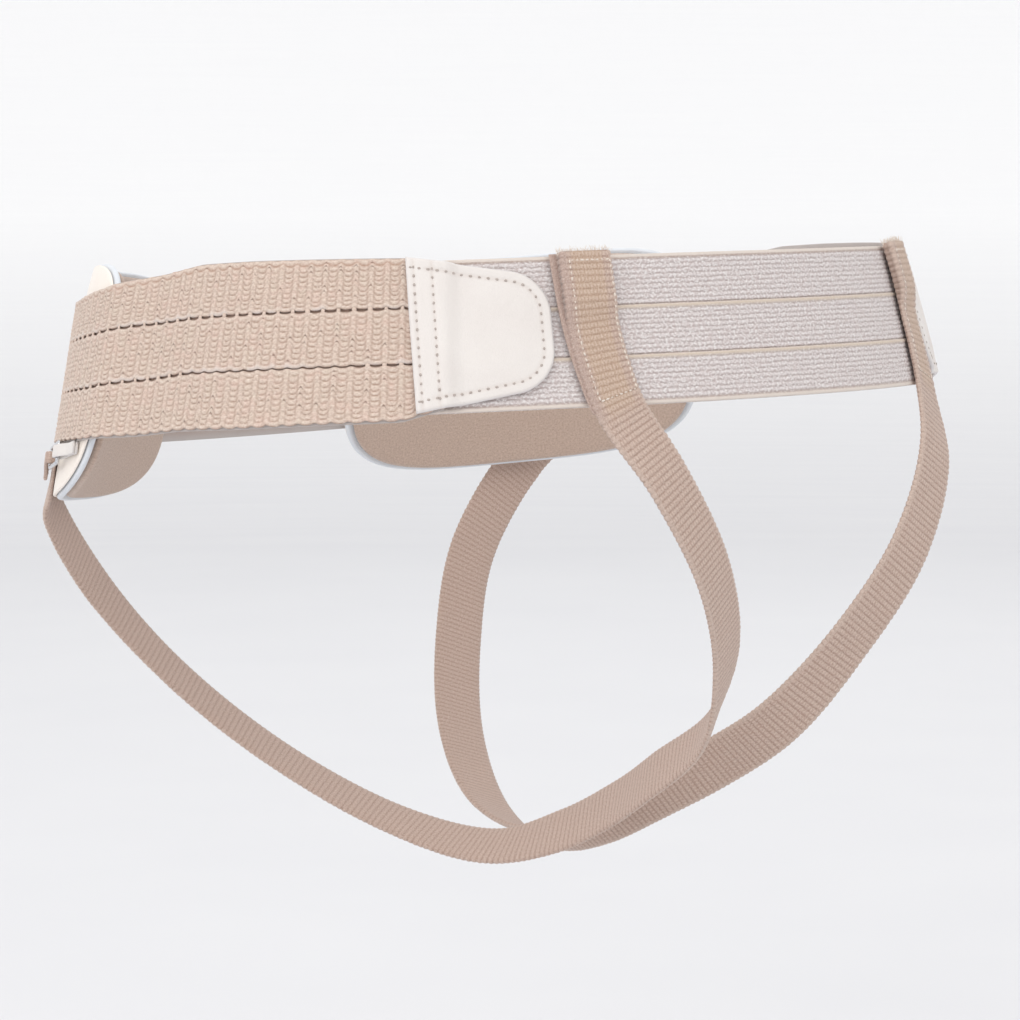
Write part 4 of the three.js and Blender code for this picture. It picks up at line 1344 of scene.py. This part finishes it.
# %% Copies for the right side
right = {}
for piece in (
    left_strap, left_under_layer, left_tab, left_cushion, left_board, left_cover,
    left_ring_wire, left_chape, left_tab_stitches, left_strap_stitches, left_strap_fray,
):
    right[piece.name] = mirrored(piece, piece.name.replace("left", "right"))
print("pieces copied to the right:", len(right))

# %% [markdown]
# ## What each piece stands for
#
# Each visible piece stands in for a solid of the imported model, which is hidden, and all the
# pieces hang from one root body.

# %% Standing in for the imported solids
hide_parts("front_band")
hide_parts("back_band")
stand_ins = {
    "strap_webbing": ("leg_strap", "strap_elastic"),
    "tab_leather": ("tab", "cream_leather"),
    "cushion_cloth": ("pad_cushion", "tan_cushion"),
    "board_face": ("pad_board", "white_board"),
    "cover_leather": ("pad_cover", "cream_leather"),
    "ring_wire": ("ring", "nickel"),
    "chape_leather": ("ring_chape", "cream_leather"),
}
for side in ("left", "right"):
    for ending, (node, slot_name) in stand_ins.items():
        piece = bpy.data.objects[f"{side}_{ending}"]
        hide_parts(f"{side}_{node}")

node_names = set(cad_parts)
for piece in [o for o in bpy.context.scene.objects if o.type == "MESH" and o.name not in node_names]:
    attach(piece, "root")

# %% [markdown]
# ## The stage
#
# The belt is held up as if worn, over a pale floor that curves up all round like a bowl, so
# there is no horizon behind it. Large soft lights all round and above keep shadows light.

# %% Floor and lights
floor_height = -0.32
bowl_flat = 2.6
bowl_bend = 0.9
bowl_points = 97
profile = [(share * bowl_flat, floor_height) for share in np.linspace(0.02, 1, 12)]
profile += [(bowl_flat + bowl_bend * math.sin(t), floor_height + bowl_bend * (1 - math.cos(t)))
            for t in np.linspace(0, math.pi / 2, 13)[1:]]
profile.append((bowl_flat + bowl_bend, 0.9))
around = np.linspace(0, 2 * math.pi, bowl_points)
bowl = np.array([[(r * math.cos(t), r * math.sin(t), z) for t in around] for r, z in profile])
bowl_mesh = bpy.data.meshes.new("floor")
index = np.arange(bowl.shape[0] * bowl_points).reshape(-1, bowl_points)
faces = np.stack([index[:-1, :-1], index[:-1, 1:], index[1:, 1:], index[1:, :-1]], axis=-1).reshape(-1, 4)
bowl_mesh.from_pydata(bowl.reshape(-1, 3).tolist(), [], [*faces.tolist(), index[0, :-1][::-1].tolist()])
bowl_mesh.shade_smooth()
floor = bpy.data.objects.new("floor", bowl_mesh)
bpy.context.scene.collection.objects.link(floor)


def space_height(tree):
    place = add_node(tree, "ShaderNodeTexCoord").outputs["Object"]
    return add_node(tree, "ShaderNodeSeparateXYZ", {"Vector": place}).outputs["Z"]


def floor_colour(tree):
    shade = noise(tree, in_millimetres(tree, 0.01, 0.01, "space"), 0.5)
    wall = mixed(tree, shade, paint(251, 251, 252), paint(254, 254, 254))
    ground = mixed(tree, shade, paint(222, 222, 225), paint(227, 227, 229))
    rise = ranged(tree, space_height(tree), floor_height, floor_height + 0.3)
    return mixed(tree, rise, ground, wall)


def floor_grain(tree):
    return noise(tree, in_millimetres(tree, 0.02, 0.02, "space"), 1.0)


bowl_mesh.materials.append(surface("pale floor", floor_colour, floor_grain, 0.05, (0.9, 0.8)))


def soft_light(name, turn, rise, distance, size, power):
    light = bpy.data.lights.new(name, "AREA")
    light.shape = "DISK"
    light.size = size
    light.energy = power
    lamp = bpy.data.objects.new(name, light)
    bpy.context.scene.collection.objects.link(lamp)
    turn, rise = math.radians(turn), math.radians(rise)
    away = Vector((math.sin(turn) * math.cos(rise), -math.cos(turn) * math.cos(rise), math.sin(rise)))
    lamp.location = view_middle + away * distance
    lamp.rotation_euler = away.to_track_quat("Z", "Y").to_euler()
    lamp.visible_camera = False
    return lamp


soft_light("key", 105, 38, 2.2, 1.5, 10)
soft_light("fill", 172, 22, 2.3, 1.8, 5)
soft_light("side", 62, 20, 2.4, 1.2, 4)
soft_light("top", 40, 80, 2.4, 2.0, 6)
soft_light("back", 300, 35, 2.4, 1.6, 4)

world = bpy.data.worlds.new("studio")
world.use_nodes = True
world.node_tree.nodes["Background"].inputs["Color"].default_value = (1, 1, 1, 1)
world.node_tree.nodes["Background"].inputs["Strength"].default_value = 0.92
bpy.context.scene.world = world
bpy.context.scene.view_settings.view_transform = "Standard"
